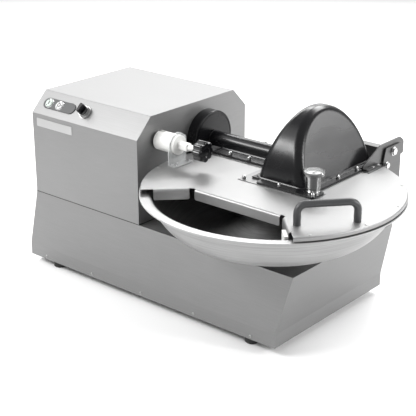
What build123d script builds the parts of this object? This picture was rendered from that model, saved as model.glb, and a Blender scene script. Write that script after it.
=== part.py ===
from build123d import *
import math
import os

os.makedirs("parts", exist_ok=True)

# Bowl cutter: a cabinet with the knife drive stands on a flared base, and an annular bowl turns
# beside it under a hinged lid with a moulded knife cover. Millimetres, +Z up, floor at z = 0.
# The row's origin is on the floor, under the middle of the machine's outline.

# ---- cabinet and base
cabinet_w = 367.0
cabinet_d = 405.0
cabinet_top = 460.0
cabinet_chamfer = 49.0
seam_z = 198.0          # joint between cabinet and base
base_w = 826.0          # length of the base along its top edge
base_splay = 17.7       # left wall runs out this far at its foot
base_tuck = 34.0        # right wall runs in this far at its foot
base_rake = 15.2        # front and back walls run out this far at their foot
band_top = 53.0         # upright band round the foot of the base
foot_h = 20.0
foot_r = 17.5
sheet = 2.0             # cabinet and base sheet
deck_t = 3.0
fit_gap = 0.3           # clearance between pieces that don't touch
run_gap = 0.05          # radial running clearance of shafts

# ---- bowl
bowl_from_left = 696.0
bowl_from_front = 95.0
rim_r = 300.0
rim_lip = 14.0
rim_z = 340.0
bowl_wall = 3.5
shaft_offset = rim_r / 2    # knife shaft behind the bowl's axis, and radius of the trough's centre
shaft_z = 365.0
trough_r = shaft_offset - 23.5
hub_z = 334.0
hub_seat_z = 300.0
hub_bore_r = 10.0

# ---- knives
knife_r = trough_r - 4.5
knife_t = 4.0
knife_count = 3
knife_gap = 12.0
knife_stack_left = -14.0    # first knife, measured from the bowl's axis
knife_bore_r = 15.0
shaft_r = 12.5

# ---- lid
lid_r = rim_r - 2.5
lid_top = 352.0
lid_sheet = 1.5
skirt_gap = 3.0         # skirt's lower edge above the rim
feed_half = 124.0       # half width of the feed opening's straight edge
feed_edge = 133.0       # straight edge in front of the bowl's axis
feed_fold = 24.0        # depth of the folded edges
feed_bend = 6.0         # outer radius of their bend
plate_t = 1.5
flange_t = 4.5
cover_wall = 3.5

# ---- knife cover
dome_from_bowl = 9.0    # middle of the dome, to the right of the bowl's axis
dome_w = 138.0
dome_half = knife_r + 17.0
dome_top = shaft_z + knife_r + 20.0
dome_in_left = 42.6     # dome's ends lean in by this much up to its crown
dome_in_right = 54.4
dome_round = 22.0
arm_r = 20.0
flange_front = 27.5
flange_side = 22.0
rail_w = 74.0           # half width of the flange along the shaft
arm_gap = 4.0           # cover to bearing flange

# ---- hinge
pivot_gap = 34.5        # lid's rear edge to the hinge's axis
pivot_z = 372.0
pivot_r = 6.0
hinge_arm_x = 92.0      # outer face of each hinge arm from the dome's middle
hinge_plate = 3.0
cheek_t = 4.0
arm_tail = 54.0

# ---- lid catch, on the lid beside the cabinet
catch_from_front = 72.0
catch_z = 398.0
catch_r = 23.5
knob_r = 25.5

# ---- derived places in the row's frame
left = -(base_splay + bowl_from_left + rim_r) / 2 + base_splay
bowl_y = rim_r - (rim_r + lid_r + pivot_gap + arm_tail) / 2
front = bowl_y - bowl_from_front
wall_x = left + cabinet_w
back = front + cabinet_d
cabinet_x = left + cabinet_w / 2
cabinet_y = front + cabinet_d / 2
bowl_x = left + bowl_from_left
shaft_y = bowl_y + shaft_offset
skirt_z = rim_z + skirt_gap
plate_z = lid_top
flange_z = plate_z + plate_t
flange_top = flange_z + flange_t
dome_x = bowl_x + dome_from_bowl
dome_left = dome_x - dome_w / 2
dome_right = dome_x + dome_w / 2
pivot_y = bowl_y + lid_r + pivot_gap
base_h = seam_z - band_top
foot_left = left - base_splay
foot_right = left + base_w - base_tuck
foot_front = front - base_rake
foot_back = back + base_rake
bowl_axis = Axis((bowl_x, bowl_y, 0), (0, 0, 1))
bowl_section = Plane(origin=(bowl_x, bowl_y, 0), x_dir=(1, 0, 0), z_dir=(0, -1, 0))
shaft_axis = Axis((0, shaft_y, shaft_z), (1, 0, 0))


def shaft_plane(x):
    """Plane across the knife shaft at x, local x along +Y and local y along +Z."""
    return Plane(origin=(x, shaft_y, shaft_z), x_dir=(0, 1, 0), z_dir=(1, 0, 0))


def side_plane(x):
    """Plane across the machine at x, local coordinates are row y and z."""
    return Plane.YZ.offset(x)


def rectangle(x1, x2, y1, y2, mode=Mode.ADD):
    """Rectangle between two corners, in the current sketch."""
    with Locations(((x1 + x2) / 2, (y1 + y2) / 2)):
        Rectangle(x2 - x1, y2 - y1, mode=mode)


def bowl_point(radius, degrees):
    """Point seen from above, by its radius and angle about the bowl's axis."""
    angle = math.radians(degrees)
    return (bowl_x + radius * math.cos(angle), bowl_y + radius * math.sin(angle))


# ---- base: flared sheet shell with its deck, open below
def base_outline(z, inset):
    """Left, right, front and back of the base's wall at height z, set in by the inset."""
    foot = min(max((seam_z - z) / base_h, 0), 1)
    return (
        left - base_splay * foot + inset,
        left + base_w - base_tuck * foot - inset,
        front - base_rake * foot + inset,
        back + base_rake * foot - inset,
    )


deck_under = seam_z - deck_t
well_margin = 18.0          # deck left round the cabinet's well
well_front = 110.0
housing_r = 36.0
with BuildPart() as base_shell:
    for z in (band_top, seam_z):
        with BuildSketch(Plane.XY.offset(z)):
            rectangle(*base_outline(z, 0))
    loft()
    with BuildSketch(Plane.XY.offset(foot_h)):
        rectangle(*base_outline(band_top, 0))
    extrude(amount=band_top - foot_h)
    for z in (band_top, deck_under):
        with BuildSketch(Plane.XY.offset(z)):
            rectangle(*base_outline(z, sheet))
    loft(mode=Mode.SUBTRACT)
    with BuildSketch(Plane.XY.offset(foot_h)):
        rectangle(*base_outline(band_top, sheet))
    extrude(amount=band_top - foot_h, mode=Mode.SUBTRACT)
    with BuildSketch(Plane.XY.offset(deck_under)):
        rectangle(left + well_margin, wall_x - well_margin, front + well_front, back - well_margin)
        with Locations((bowl_x, bowl_y)):
            Circle(housing_r + fit_gap)
    extrude(amount=deck_t, mode=Mode.SUBTRACT)
base_shell.part.label = "base_shell"
export_step(base_shell.part, "parts/base_shell.step")

foot_inset_x = 82.7         # foot centres in from the base's ends and sides
foot_inset_y = 25.0
foot_spots = [
    (x, y)
    for x in (foot_left + foot_inset_x, foot_right - foot_inset_x)
    for y in (foot_front + foot_inset_y, foot_back - foot_inset_y)
]
floor_t = 2.0
floor_z = foot_h + floor_t
with BuildPart() as base_floor:
    with BuildSketch(Plane.XY.offset(foot_h)):
        rectangle(*base_outline(band_top, sheet + fit_gap))
        with Locations((cabinet_x, cabinet_y)):
            with GridLocations(0, 16, 1, 8):
                SlotOverall(90, 6, mode=Mode.SUBTRACT)
    extrude(amount=floor_t)
    with Locations(*[(x, y, floor_z) for x, y in foot_spots]):
        Hole(4)
base_floor.part.label = "base_floor"
export_step(base_floor.part, "parts/base_floor.step")

foot_tip = 2.0
with BuildPart() as feet:
    with Locations(*[(x, y, 0) for x, y in foot_spots]):
        Cone(foot_r - 3, foot_r - 1, foot_tip, align=(Align.CENTER, Align.CENTER, Align.MIN))
    with Locations(*[(x, y, foot_tip) for x, y in foot_spots]):
        Cone(foot_r - 1, foot_r, foot_h - foot_tip, align=(Align.CENTER, Align.CENTER, Align.MIN))
    with Locations(*[(x, y, foot_h) for x, y in foot_spots]):
        Cylinder(4 - run_gap, floor_t, align=(Align.CENTER, Align.CENTER, Align.MIN))
feet.part.label = "feet"
export_step(feet.part, "parts/feet.step")

band_screw_count = 5
band_screw_from_left = 41.0
band_screw_from_right = 68.6
band_screw_pitch = (foot_right - left - band_screw_from_left - band_screw_from_right) / (band_screw_count - 1)
band_screw_z = 28.0
with BuildPart() as band_screws:
    for y, side in ((foot_front, -1), (foot_back, 1)):
        with Locations(Plane(origin=(left + band_screw_from_left, y, band_screw_z), z_dir=(0, side, 0), x_dir=(side * -1, 0, 0))):
            with Locations(*[(-side * i * band_screw_pitch, 0, 0) for i in range(band_screw_count)]):
                Cylinder(3.5, 1.6, align=(Align.CENTER, Align.CENTER, Align.MIN))
    chamfer(band_screws.edges().filter_by(GeomType.CIRCLE).group_by(Axis.Y)[0], 0.8)
    chamfer(band_screws.edges().filter_by(GeomType.CIRCLE).group_by(Axis.Y)[-1], 0.8)
band_screws.part.label = "band_screws"
export_step(band_screws.part, "parts/band_screws.step")

# ---- cabinet: folded sheet cover with two chamfered shoulders, open towards the base
flange_bore_r = 30.0
chamfer_mid_y = front + cabinet_chamfer / 2
chamfer_mid_z = cabinet_top - cabinet_chamfer / 2


def cabinet_profile(inset):
    """Cabinet's side outline in row y and z, set in by the sheet."""
    slant = inset * math.tan(math.radians(22.5))
    low = seam_z
    high = cabinet_top - inset
    corner = cabinet_chamfer + slant - inset
    return [
        (front + inset, low),
        (back - inset, low),
        (back - inset, high - corner),
        (back - inset - corner, high),
        (front + inset + corner, high),
        (front + inset, high - corner),
    ]


panel_from_left = 77.5      # control panel's middle along the shoulder
panel_length = 112.0
panel_h = 30.0
panel_t = 2.5
button_r = 11.0
button_pitch = 36.7
button_from_left = 42.3
selector_from_left = 170.4
shoulder = Plane(
    origin=(left, chamfer_mid_y, chamfer_mid_z), x_dir=(1, 0, 0), z_dir=(0, -1, 1)
)
button_spots = [(button_from_left, 0), (button_from_left + button_pitch, 0)]
with BuildPart() as cabinet_shell:
    with BuildSketch(side_plane(left)):
        with BuildLine():
            Polyline(*cabinet_profile(0), close=True)
        make_face()
    extrude(amount=cabinet_w)
    fillet(cabinet_shell.edges().filter_by(Axis.X).group_by(Axis.Z)[-1], 2)
    with BuildSketch(side_plane(left + sheet)):
        with BuildLine():
            Polyline(*cabinet_profile(sheet), close=True)
        make_face()
    extrude(amount=cabinet_w - 2 * sheet, mode=Mode.SUBTRACT)
    with BuildSketch(shaft_plane(wall_x - sheet)):
        Circle(flange_bore_r)
    extrude(amount=sheet, mode=Mode.SUBTRACT)
    with BuildSketch(shoulder):
        with Locations(*button_spots):
            Circle(button_r + 1)
        with Locations((selector_from_left, 0)):
            Circle(8)
    extrude(amount=-2 * sheet, mode=Mode.SUBTRACT)
cabinet_shell.part.label = "cabinet_shell"
export_step(cabinet_shell.part, "parts/cabinet_shell.step")

badge_from_left = 80.5
badge_from_top = 71.0
with BuildPart() as badge_plate:
    with BuildSketch(
        Plane(origin=(left + badge_from_left, front, cabinet_top - badge_from_top), x_dir=(1, 0, 0), z_dir=(0, -1, 0))
    ):
        RectangleRounded(128, 21, 1.5)
    extrude(amount=0.8)
badge_plate.part.label = "badge_plate"
export_step(badge_plate.part, "parts/badge_plate.step")

# ---- controls on the front shoulder
with BuildPart() as control_panel:
    with BuildSketch(shoulder):
        with Locations((panel_from_left, 0)):
            SlotOverall(panel_length, panel_h)
        with Locations(*button_spots):
            Circle(button_r + 0.4, mode=Mode.SUBTRACT)
    extrude(amount=panel_t)
    chamfer(control_panel.faces().sort_by(Axis(shoulder.origin, shoulder.z_dir))[-1].outer_wire().edges(), 0.8)
control_panel.part.label = "control_panel"
export_step(control_panel.part, "parts/control_panel.step")

button_proud = 3.0
button_travel = 2.5
button_body = 9.0
stem_r = 5.0
stem_length = 14.0
block_top = -button_body - button_travel - 1.0
with BuildPart() as start_button:
    with BuildSketch(shoulder.offset(panel_t + button_proud)):
        with Locations(button_spots[0]):
            Circle(button_r)
    extrude(amount=-(button_body + panel_t + button_proud))
    fillet(start_button.faces().sort_by(Axis(shoulder.origin, shoulder.z_dir))[-1].edges(), 1.2)
    with BuildSketch(shoulder.offset(-button_body)):
        with Locations(button_spots[0]):
            Circle(stem_r)
    extrude(amount=-stem_length)
start_button.part.label = "start_button"
export_step(start_button.part, "parts/start_button.step")

with BuildPart() as stop_button:
    with BuildSketch(shoulder.offset(panel_t + button_proud)):
        with Locations(button_spots[1]):
            Circle(button_r)
    extrude(amount=-(button_body + panel_t + button_proud))
    fillet(stop_button.faces().sort_by(Axis(shoulder.origin, shoulder.z_dir))[-1].edges(), 1.2)
    with BuildSketch(shoulder.offset(-button_body)):
        with Locations(button_spots[1]):
            Circle(stem_r)
    extrude(amount=-stem_length)
stop_button.part.label = "stop_button"
export_step(stop_button.part, "parts/stop_button.step")

# Switch block hangs behind the buttons on two walls that stand on the shoulder's inner face.
block_h = 24.0
block_reach = 18.0
block_half = 15.0
with BuildPart() as switch_block:
    with BuildSketch(shoulder.offset(block_top)):
        with Locations((button_from_left + button_pitch / 2, 0)):
            Rectangle(button_pitch + 2 * block_reach, block_h)
        with Locations(*button_spots):
            Circle(stem_r + run_gap, mode=Mode.SUBTRACT)
    extrude(amount=-stem_length)
    with BuildSketch(shoulder.offset(-sheet)):
        for side in (-1, 1):
            with Locations((button_from_left + button_pitch / 2 + side * (button_pitch / 2 + block_half + 1.5), 0)):
                Rectangle(3, block_h)
    extrude(amount=block_top + sheet)
switch_block.part.label = "switch_block"
export_step(switch_block.part, "parts/switch_block.step")

selector_ring_r = 17.0
selector_ring_t = 3.0
collar_r = 15.0
collar_h = 9.0
knob_stem_r = 6.0
with BuildPart() as selector_base:
    with BuildSketch(shoulder):
        with Locations((selector_from_left, 0)):
            Circle(selector_ring_r)
    extrude(amount=selector_ring_t)
    with BuildSketch(shoulder.offset(selector_ring_t)):
        with Locations((selector_from_left, 0)):
            Circle(collar_r)
    extrude(amount=collar_h, taper=5)
    with BuildSketch(shoulder.offset(selector_ring_t + collar_h)):
        with Locations((selector_from_left, 0)):
            Circle(knob_stem_r + run_gap)
    extrude(amount=-8, mode=Mode.SUBTRACT)
selector_base.part.label = "selector_base"
export_step(selector_base.part, "parts/selector_base.step")

selector_face = selector_ring_t + collar_h + fit_gap
lever_length = 36.0
lever_w = 10.0
lever_h = 15.0
with BuildPart() as selector_knob:
    with BuildSketch(shoulder.offset(selector_face)):
        with Locations((selector_from_left, 0)):
            Circle(13)
    extrude(amount=6)
    with BuildSketch(shoulder.offset(selector_face + 2)):
        with Locations((selector_from_left - 4, 3)):
            SlotOverall(lever_length, lever_w, rotation=125)
    extrude(amount=lever_h, taper=4)
    fillet(selector_knob.faces().sort_by(Axis(shoulder.origin, shoulder.z_dir))[-1].edges(), 1.5)
    with BuildSketch(shoulder.offset(selector_face)):
        with Locations((selector_from_left, 0)):
            Circle(knob_stem_r)
    extrude(amount=-7)
selector_knob.part.label = "selector_knob"
export_step(selector_knob.part, "parts/selector_knob.step")

control_w = 110.0
control_d = 75.0
control_h = 110.0
control_from_wall = 42.0
control_from_front = 15.0
with BuildPart() as control_box:
    control_right = wall_x - control_from_wall
    control_front = front + control_from_front
    with BuildSketch(Plane.XY.offset(seam_z)):
        rectangle(control_right - control_w, control_right, control_front, control_front + control_d)
    extrude(amount=control_h)
    fillet(control_box.edges().filter_by(Axis.Z), 4)
control_box.part.label = "control_box"
export_step(control_box.part, "parts/control_box.step")

gland_r = 11.0
with BuildPart() as cable_gland:
    with BuildSketch(Plane(origin=(left + 60, foot_back, 36), z_dir=(0, 1, 0))):
        RegularPolygon(gland_r + 2, 6)
    extrude(amount=5)
    with BuildSketch(Plane(origin=(left + 60, foot_back + 5, 36), z_dir=(0, 1, 0))):
        Circle(gland_r)
    extrude(amount=14, taper=8)
    with BuildSketch(Plane(origin=(left + 60, foot_back + 19, 36), z_dir=(0, 1, 0))):
        Circle(4.5)
    extrude(amount=-15, mode=Mode.SUBTRACT)
cable_gland.part.label = "cable_gland"
export_step(cable_gland.part, "parts/cable_gland.step")

# ---- knife spindle: black bearing flange on the wall, cast housing behind it
disc_r = 69.0
disc_t = 29.0
disc_groove_r = disc_r - 5.0
seal_r = 20.0
seal_w = 7.0
bearing_r = 26.0
bearing_w = 15.0
barrel_r = 42.0
barrel_flange_r = 58.0
barrel_length = 120.0
barrel_left = wall_x - sheet - barrel_length
with BuildPart() as shaft_flange:
    with BuildSketch(shaft_plane(wall_x)):
        Circle(disc_r)
    extrude(amount=disc_t)
    fillet(shaft_flange.faces().sort_by(Axis.X)[-1].edges(), 3)
    with BuildSketch(shaft_plane(wall_x + disc_t)):
        Circle(disc_groove_r)
        Circle(disc_groove_r - 2, mode=Mode.SUBTRACT)
    extrude(amount=-1, mode=Mode.SUBTRACT)
    with BuildSketch(shaft_plane(wall_x)):
        Circle(seal_r - 3)
    extrude(amount=disc_t, mode=Mode.SUBTRACT)
    with BuildSketch(shaft_plane(wall_x + disc_t)):
        Circle(seal_r)
    extrude(amount=-seal_w - 1, mode=Mode.SUBTRACT)
shaft_flange.part.label = "shaft_flange"
export_step(shaft_flange.part, "parts/shaft_flange.step")

with BuildPart() as shaft_seal:
    with BuildSketch(shaft_plane(wall_x + disc_t - 1)):
        Circle(seal_r)
        Circle(shaft_r + run_gap, mode=Mode.SUBTRACT)
    extrude(amount=-seal_w)
shaft_seal.part.label = "shaft_seal"
export_step(shaft_seal.part, "parts/shaft_seal.step")

with BuildPart() as bearing_housing:
    with BuildSketch(shaft_plane(barrel_left)):
        Circle(barrel_r)
    extrude(amount=barrel_length)
    with BuildSketch(shaft_plane(wall_x - sheet)):
        Circle(barrel_flange_r)
    extrude(amount=-10)
    with BuildSketch(shaft_plane(barrel_left)):
        Circle(bearing_r - 4)
    extrude(amount=barrel_length, mode=Mode.SUBTRACT)
    for x, way in ((barrel_left, 1), (wall_x - sheet, -1)):
        with BuildSketch(shaft_plane(x)):
            Circle(bearing_r)
        extrude(amount=way * bearing_w, mode=Mode.SUBTRACT)
bearing_housing.part.label = "bearing_housing"
export_step(bearing_housing.part, "parts/bearing_housing.step")

with BuildPart() as knife_bearings:
    for x in (barrel_left, wall_x - sheet - bearing_w):
        with BuildSketch(shaft_plane(x)):
            Circle(bearing_r)
            Circle(shaft_r + run_gap, mode=Mode.SUBTRACT)
        extrude(amount=bearing_w)
        for face_x, way in ((x, 1), (x + bearing_w, -1)):
            with BuildSketch(shaft_plane(face_x)):
                Circle(bearing_r - 3.5)
                Circle(shaft_r + 3.5, mode=Mode.SUBTRACT)
            extrude(amount=way * 1.2, mode=Mode.SUBTRACT)
knife_bearings.part.label = "knife_bearings"
export_step(knife_bearings.part, "parts/knife_bearings.step")

# ---- knife drive: motor in the base, V-belt up to the spindle
belt_x = left + 60.0
belt_w = 10.0
belt_t = 8.0
knife_pulley_r = 50.0
motor_pulley_r = 45.0
motor_z = 142.0
motor_r = 72.0
motor_left = left + 125.0
motor_length = 205.0
motor_shaft_r = 10.0
groove_floor = belt_t + 1.0
mount_z = 60.0
pulley_w = belt_w + 10.0


def pulley(plane, radius, bore):
    """Single-groove pulley with its outer face on the plane."""
    with BuildPart() as wheel:
        with BuildSketch(plane):
            Circle(radius + 1.5)
            Circle(bore, mode=Mode.SUBTRACT)
        extrude(amount=pulley_w)
        with BuildSketch(Plane(origin=plane.origin, x_dir=(1, 0, 0), z_dir=(0, -1, 0))):
            with BuildLine():
                Polyline(
                    (pulley_w / 2 - belt_w / 2 - 2.2, radius + 2),
                    (pulley_w / 2 - belt_w / 2 - fit_gap, radius - groove_floor),
                    (pulley_w / 2 + belt_w / 2 + fit_gap, radius - groove_floor),
                    (pulley_w / 2 + belt_w / 2 + 2.2, radius + 2),
                    close=True,
                )
            make_face()
        revolve(axis=Axis(plane.origin, (1, 0, 0)), mode=Mode.SUBTRACT)
    return wheel


motor_plane = Plane(origin=(belt_x, shaft_y, motor_z), x_dir=(0, 1, 0), z_dir=(1, 0, 0))
knife_pulley = pulley(shaft_plane(belt_x), knife_pulley_r, shaft_r)
knife_pulley.part.label = "knife_pulley"
export_step(knife_pulley.part, "parts/knife_pulley.step")

motor_pulley = pulley(motor_plane, motor_pulley_r, motor_shaft_r)
motor_pulley.part.label = "motor_pulley"
export_step(motor_pulley.part, "parts/motor_pulley.step")

with BuildPart() as motor_shaft:
    with BuildSketch(motor_plane.offset(-4)):
        Circle(motor_shaft_r)
    extrude(amount=motor_left - belt_x + 34)
    chamfer(motor_shaft.faces().sort_by(Axis.X)[0].edges(), 1)
motor_shaft.part.label = "motor_shaft"
export_step(motor_shaft.part, "parts/motor_shaft.step")

belt_lean = (knife_pulley_r - motor_pulley_r) / (shaft_z - motor_z)


def belt_loop(inset):
    """Outline of the belt round both pulleys, set in from its outer face."""
    for z, radius in ((shaft_z, knife_pulley_r), (motor_z, motor_pulley_r)):
        with Locations((shaft_y, z)):
            Circle(radius - inset)
    cos_lean = math.sqrt(1 - belt_lean**2)
    high = (knife_pulley_r - inset, shaft_z)
    low = (motor_pulley_r - inset, motor_z)
    corners = [
        (shaft_y + side * r * cos_lean, z + r * belt_lean * -1)
        for side, (r, z) in ((-1, high), (1, high), (1, low), (-1, low))
    ]
    Polygon(*corners, align=None)


with BuildPart() as drive_belt:
    with BuildSketch(side_plane(belt_x + 5)) as belt_outer:
        belt_loop(0)
    extrude(amount=belt_w)
    with BuildSketch(side_plane(belt_x + 5)) as belt_inner:
        belt_loop(belt_t)
    extrude(amount=belt_w, mode=Mode.SUBTRACT)
drive_belt.part.label = "drive_belt"
export_step(drive_belt.part, "parts/drive_belt.step")

fin_count = 24
with BuildPart() as knife_motor:
    with BuildSketch(motor_plane.offset(motor_left - belt_x)):
        Circle(motor_r - 6)
        with PolarLocations(motor_r - 5, fin_count):
            Rectangle(10, 3)
    extrude(amount=motor_length)
    with BuildSketch(motor_plane.offset(motor_left - belt_x)):
        Circle(motor_r)
    extrude(amount=14)
    with BuildSketch(motor_plane.offset(motor_left - belt_x + motor_length)):
        Circle(motor_r)
    extrude(amount=-34)
    with BuildSketch(Plane.XY.offset(mount_z)):
        rectangle(motor_left + 30, motor_left + motor_length - 40, shaft_y - 60, shaft_y + 60)
    extrude(amount=motor_z - motor_r - mount_z + 24)
    with BuildSketch(motor_plane.offset(motor_left - belt_x)):
        Circle(motor_shaft_r + run_gap)
    extrude(amount=32, mode=Mode.SUBTRACT)
knife_motor.part.label = "knife_motor"
export_step(knife_motor.part, "parts/knife_motor.step")

with BuildPart() as motor_mount:
    with BuildSketch(Plane.XZ.offset(-(shaft_y + 80))):
        rectangle(motor_left + 20, motor_left + motor_length - 30, floor_z, mount_z)
    extrude(amount=160)
    with BuildSketch(Plane.XZ.offset(-(shaft_y + 80))):
        rectangle(motor_left + 24, motor_left + motor_length - 34, floor_z, mount_z - 4)
    extrude(amount=160, mode=Mode.SUBTRACT)
motor_mount.part.label = "motor_mount"
export_step(motor_mount.part, "parts/motor_mount.step")

# ---- knife spindle and knives
stack_left = bowl_x + knife_stack_left
knife_pitch = knife_t + knife_gap
stack_right = stack_left + knife_count * knife_t + (knife_count - 1) * knife_gap
head_w = 15.0
head_r = 30.0
nut_w = 20.0
shaft_left = belt_x - 6
shaft_right = stack_right + nut_w - 4
with BuildPart() as knife_shaft:
    with BuildSketch(shaft_plane(shaft_left)):
        Circle(shaft_r)
    extrude(amount=shaft_right - shaft_left)
    with BuildSketch(shaft_plane(stack_left - 4)):
        Circle(knife_bore_r)
    extrude(amount=stack_right - stack_left + 4)
    chamfer(knife_shaft.faces().sort_by(Axis.X)[-1].edges(), 1)
knife_shaft.part.label = "knife_shaft"
export_step(knife_shaft.part, "parts/knife_shaft.step")

with BuildPart() as knife_head:
    with BuildSketch(shaft_plane(stack_left - head_w)):
        Circle(head_r - 5)
    extrude(amount=head_w, taper=-15)
    with BuildSketch(shaft_plane(stack_left - head_w)):
        Circle(shaft_r)
    extrude(amount=head_w - 4, mode=Mode.SUBTRACT)
    with BuildSketch(shaft_plane(stack_left)):
        Circle(knife_bore_r)
    extrude(amount=-4, mode=Mode.SUBTRACT)
knife_head.part.label = "knife_head"
export_step(knife_head.part, "parts/knife_head.step")

with BuildPart() as knife_spacers:
    for i in range(knife_count - 1):
        with BuildSketch(shaft_plane(stack_left + knife_t + i * knife_pitch)):
            Circle(head_r - 2)
            Circle(knife_bore_r, mode=Mode.SUBTRACT)
        extrude(amount=knife_gap)
knife_spacers.part.label = "knife_spacers"
export_step(knife_spacers.part, "parts/knife_spacers.step")

with BuildPart() as knife_nut:
    with BuildSketch(shaft_plane(stack_right)):
        Circle(head_r - 2)
    extrude(amount=6)
    with BuildSketch(shaft_plane(stack_right + 6)):
        RegularPolygon(22, 6, major_radius=False)
    extrude(amount=nut_w - 6)
    chamfer(knife_nut.faces().sort_by(Axis.X)[-1].edges(), 2)
    with BuildSketch(shaft_plane(stack_right)):
        Circle(shaft_r)
    extrude(amount=nut_w - 4, mode=Mode.SUBTRACT)
knife_nut.part.label = "knife_nut"
export_step(knife_nut.part, "parts/knife_nut.step")


edge_r = 70.0               # cutting edge's arc, tangent to the knife circle at the tip
bevel_w = 9.0
tip_start = -24.0
tip_end = -34.0


def blade_point(radius, degrees, offset=(0, 0)):
    """Point on the knife, by radius and angle about the offset centre."""
    angle = math.radians(degrees)
    return (offset[0] + radius * math.cos(angle), offset[1] + radius * math.sin(angle))


def knife(index):
    """Sickle knife number index, with its bevel ground on the outer, cutting edge."""
    turn = math.radians(index * 360 / knife_count)
    plane = Plane(
        origin=(stack_left + index * knife_pitch, shaft_y, shaft_z),
        x_dir=(0, math.cos(turn), math.sin(turn)),
        z_dir=(1, 0, 0),
    )
    centre = blade_point(knife_r - edge_r, tip_start)
    with BuildPart() as blade:
        with BuildSketch(plane):
            with BuildLine():
                cutting = ThreePointArc(
                    blade_point(edge_r, 128, centre),
                    blade_point(edge_r, 50, centre),
                    blade_point(knife_r, tip_start),
                )
                tip = ThreePointArc(
                    cutting @ 1,
                    blade_point(knife_r, (tip_start + tip_end) / 2),
                    blade_point(knife_r, tip_end),
                )
                spine = ThreePointArc(tip @ 1, blade_point(knife_r * 0.58, -28), blade_point(head_r, -80))
                Line(spine @ 1, cutting @ 0)
            make_face()
        extrude(amount=knife_t)
        bevel_centre = plane.from_local_coords((*centre, 0))
        with BuildSketch(Plane(origin=bevel_centre, x_dir=plane.x_dir, z_dir=-plane.y_dir)):
            with BuildLine():
                Polyline(
                    (edge_r - bevel_w, knife_t),
                    (edge_r + bevel_w / 3, 0),
                    (edge_r + bevel_w / 3, knife_t),
                    close=True,
                )
            make_face()
        revolve(axis=Axis(bevel_centre, plane.z_dir), mode=Mode.SUBTRACT)
        with BuildSketch(plane):
            Circle(head_r + 2)
        extrude(amount=knife_t)
        with BuildSketch(plane):
            Circle(knife_bore_r)
        extrude(amount=knife_t, mode=Mode.SUBTRACT)
    return blade


knife_left = knife(0)
knife_left.part.label = "knife_left"
export_step(knife_left.part, "parts/knife_left.step")
knife_middle = knife(1)
knife_middle.part.label = "knife_middle"
export_step(knife_middle.part, "parts/knife_middle.step")
knife_right = knife(2)
knife_right.part.label = "knife_right"
export_step(knife_right.part, "parts/knife_right.step")

# ---- bowl: annular trough with a flat lip and a hub that seats on the spindle
lip_round = 10.0
hub_edge = shaft_offset - math.sqrt(trough_r**2 - (shaft_z - hub_z) ** 2)
lip_edge = shaft_offset + math.sqrt(trough_r**2 - (shaft_z - rim_z) ** 2)
bowl_r = trough_r + bowl_wall
lip_under = rim_z - bowl_wall
outer_edge = shaft_offset + math.sqrt(bowl_r**2 - (shaft_z - lip_under) ** 2)
seat_edge = shaft_offset - math.sqrt(bowl_r**2 - (shaft_z - hub_seat_z) ** 2)
with BuildPart() as bowl:
    with BuildSketch(bowl_section) as trough:
        with BuildLine():
            ThreePointArc((hub_edge, hub_z), (shaft_offset, shaft_z - trough_r), (lip_edge, rim_z))
            Polyline((lip_edge, rim_z), (rim_r, rim_z), (rim_r, lip_under), (outer_edge, lip_under))
            ThreePointArc((outer_edge, lip_under), (shaft_offset, shaft_z - bowl_r), (seat_edge, hub_seat_z))
            Polyline((seat_edge, hub_seat_z), (hub_bore_r, hub_seat_z), (hub_bore_r, hub_z), (hub_edge, hub_z))
        make_face()
        fillet(trough.vertices().sort_by_distance((lip_edge, rim_z))[0], lip_round)
        fillet(trough.vertices().sort_by_distance((outer_edge, lip_under))[0], lip_round - bowl_wall)
        fillet(trough.vertices().sort_by_distance((hub_edge, hub_z))[0], 3)
    revolve(axis=bowl_axis)
bowl.part.label = "bowl"
export_step(bowl.part, "parts/bowl.step")

# ---- bowl drive: spindle in a tower under the hub, gear and pinion below the deck
spindle_r = 15.0
spindle_low = 100.0
spindle_flange_r = 34.0
spindle_flange_t = 15.0
spindle_top = 346.0
tower_top = 270.0
tower_low = 136.0
tower_flange_r = 62.0
tower_flange_t = 9.0
gear_module = 2.0
gear_teeth = 72
pinion_teeth = 18
gear_w = 14.0
gear_z = 108.0
backlash = 0.35
centre_distance = gear_module * (gear_teeth + pinion_teeth) / 2
pinion_x = bowl_x - centre_distance
pinion_shaft_r = 8.0
gearmotor_r = 44.0
gearmotor_top = 98.0
with BuildPart() as bowl_spindle:
    with BuildSketch(Plane.XY.offset(spindle_low)):
        with Locations((bowl_x, bowl_y)):
            Circle(spindle_r)
    extrude(amount=hub_seat_z - spindle_low)
    with BuildSketch(Plane.XY.offset(hub_seat_z)):
        with Locations((bowl_x, bowl_y)):
            Circle(spindle_flange_r)
    extrude(amount=-spindle_flange_t)
    with BuildSketch(Plane.XY.offset(hub_seat_z)):
        with Locations((bowl_x, bowl_y)):
            Circle(hub_bore_r)
    extrude(amount=spindle_top - hub_seat_z)
    chamfer(bowl_spindle.faces().sort_by(Axis.Z)[-1].edges(), 1)
bowl_spindle.part.label = "bowl_spindle"
export_step(bowl_spindle.part, "parts/bowl_spindle.step")

with BuildPart() as bowl_nut:
    with BuildSketch(Plane.XY.offset(hub_z)):
        with Locations((bowl_x, bowl_y)):
            Circle(20)
            with PolarLocations(20, 6):
                Circle(5)
            Circle(hub_bore_r, mode=Mode.SUBTRACT)
    extrude(amount=12)
    chamfer(bowl_nut.faces().sort_by(Axis.Z)[-1].outer_wire().edges(), 1.5)
bowl_nut.part.label = "bowl_nut"
export_step(bowl_nut.part, "parts/bowl_nut.step")

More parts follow.
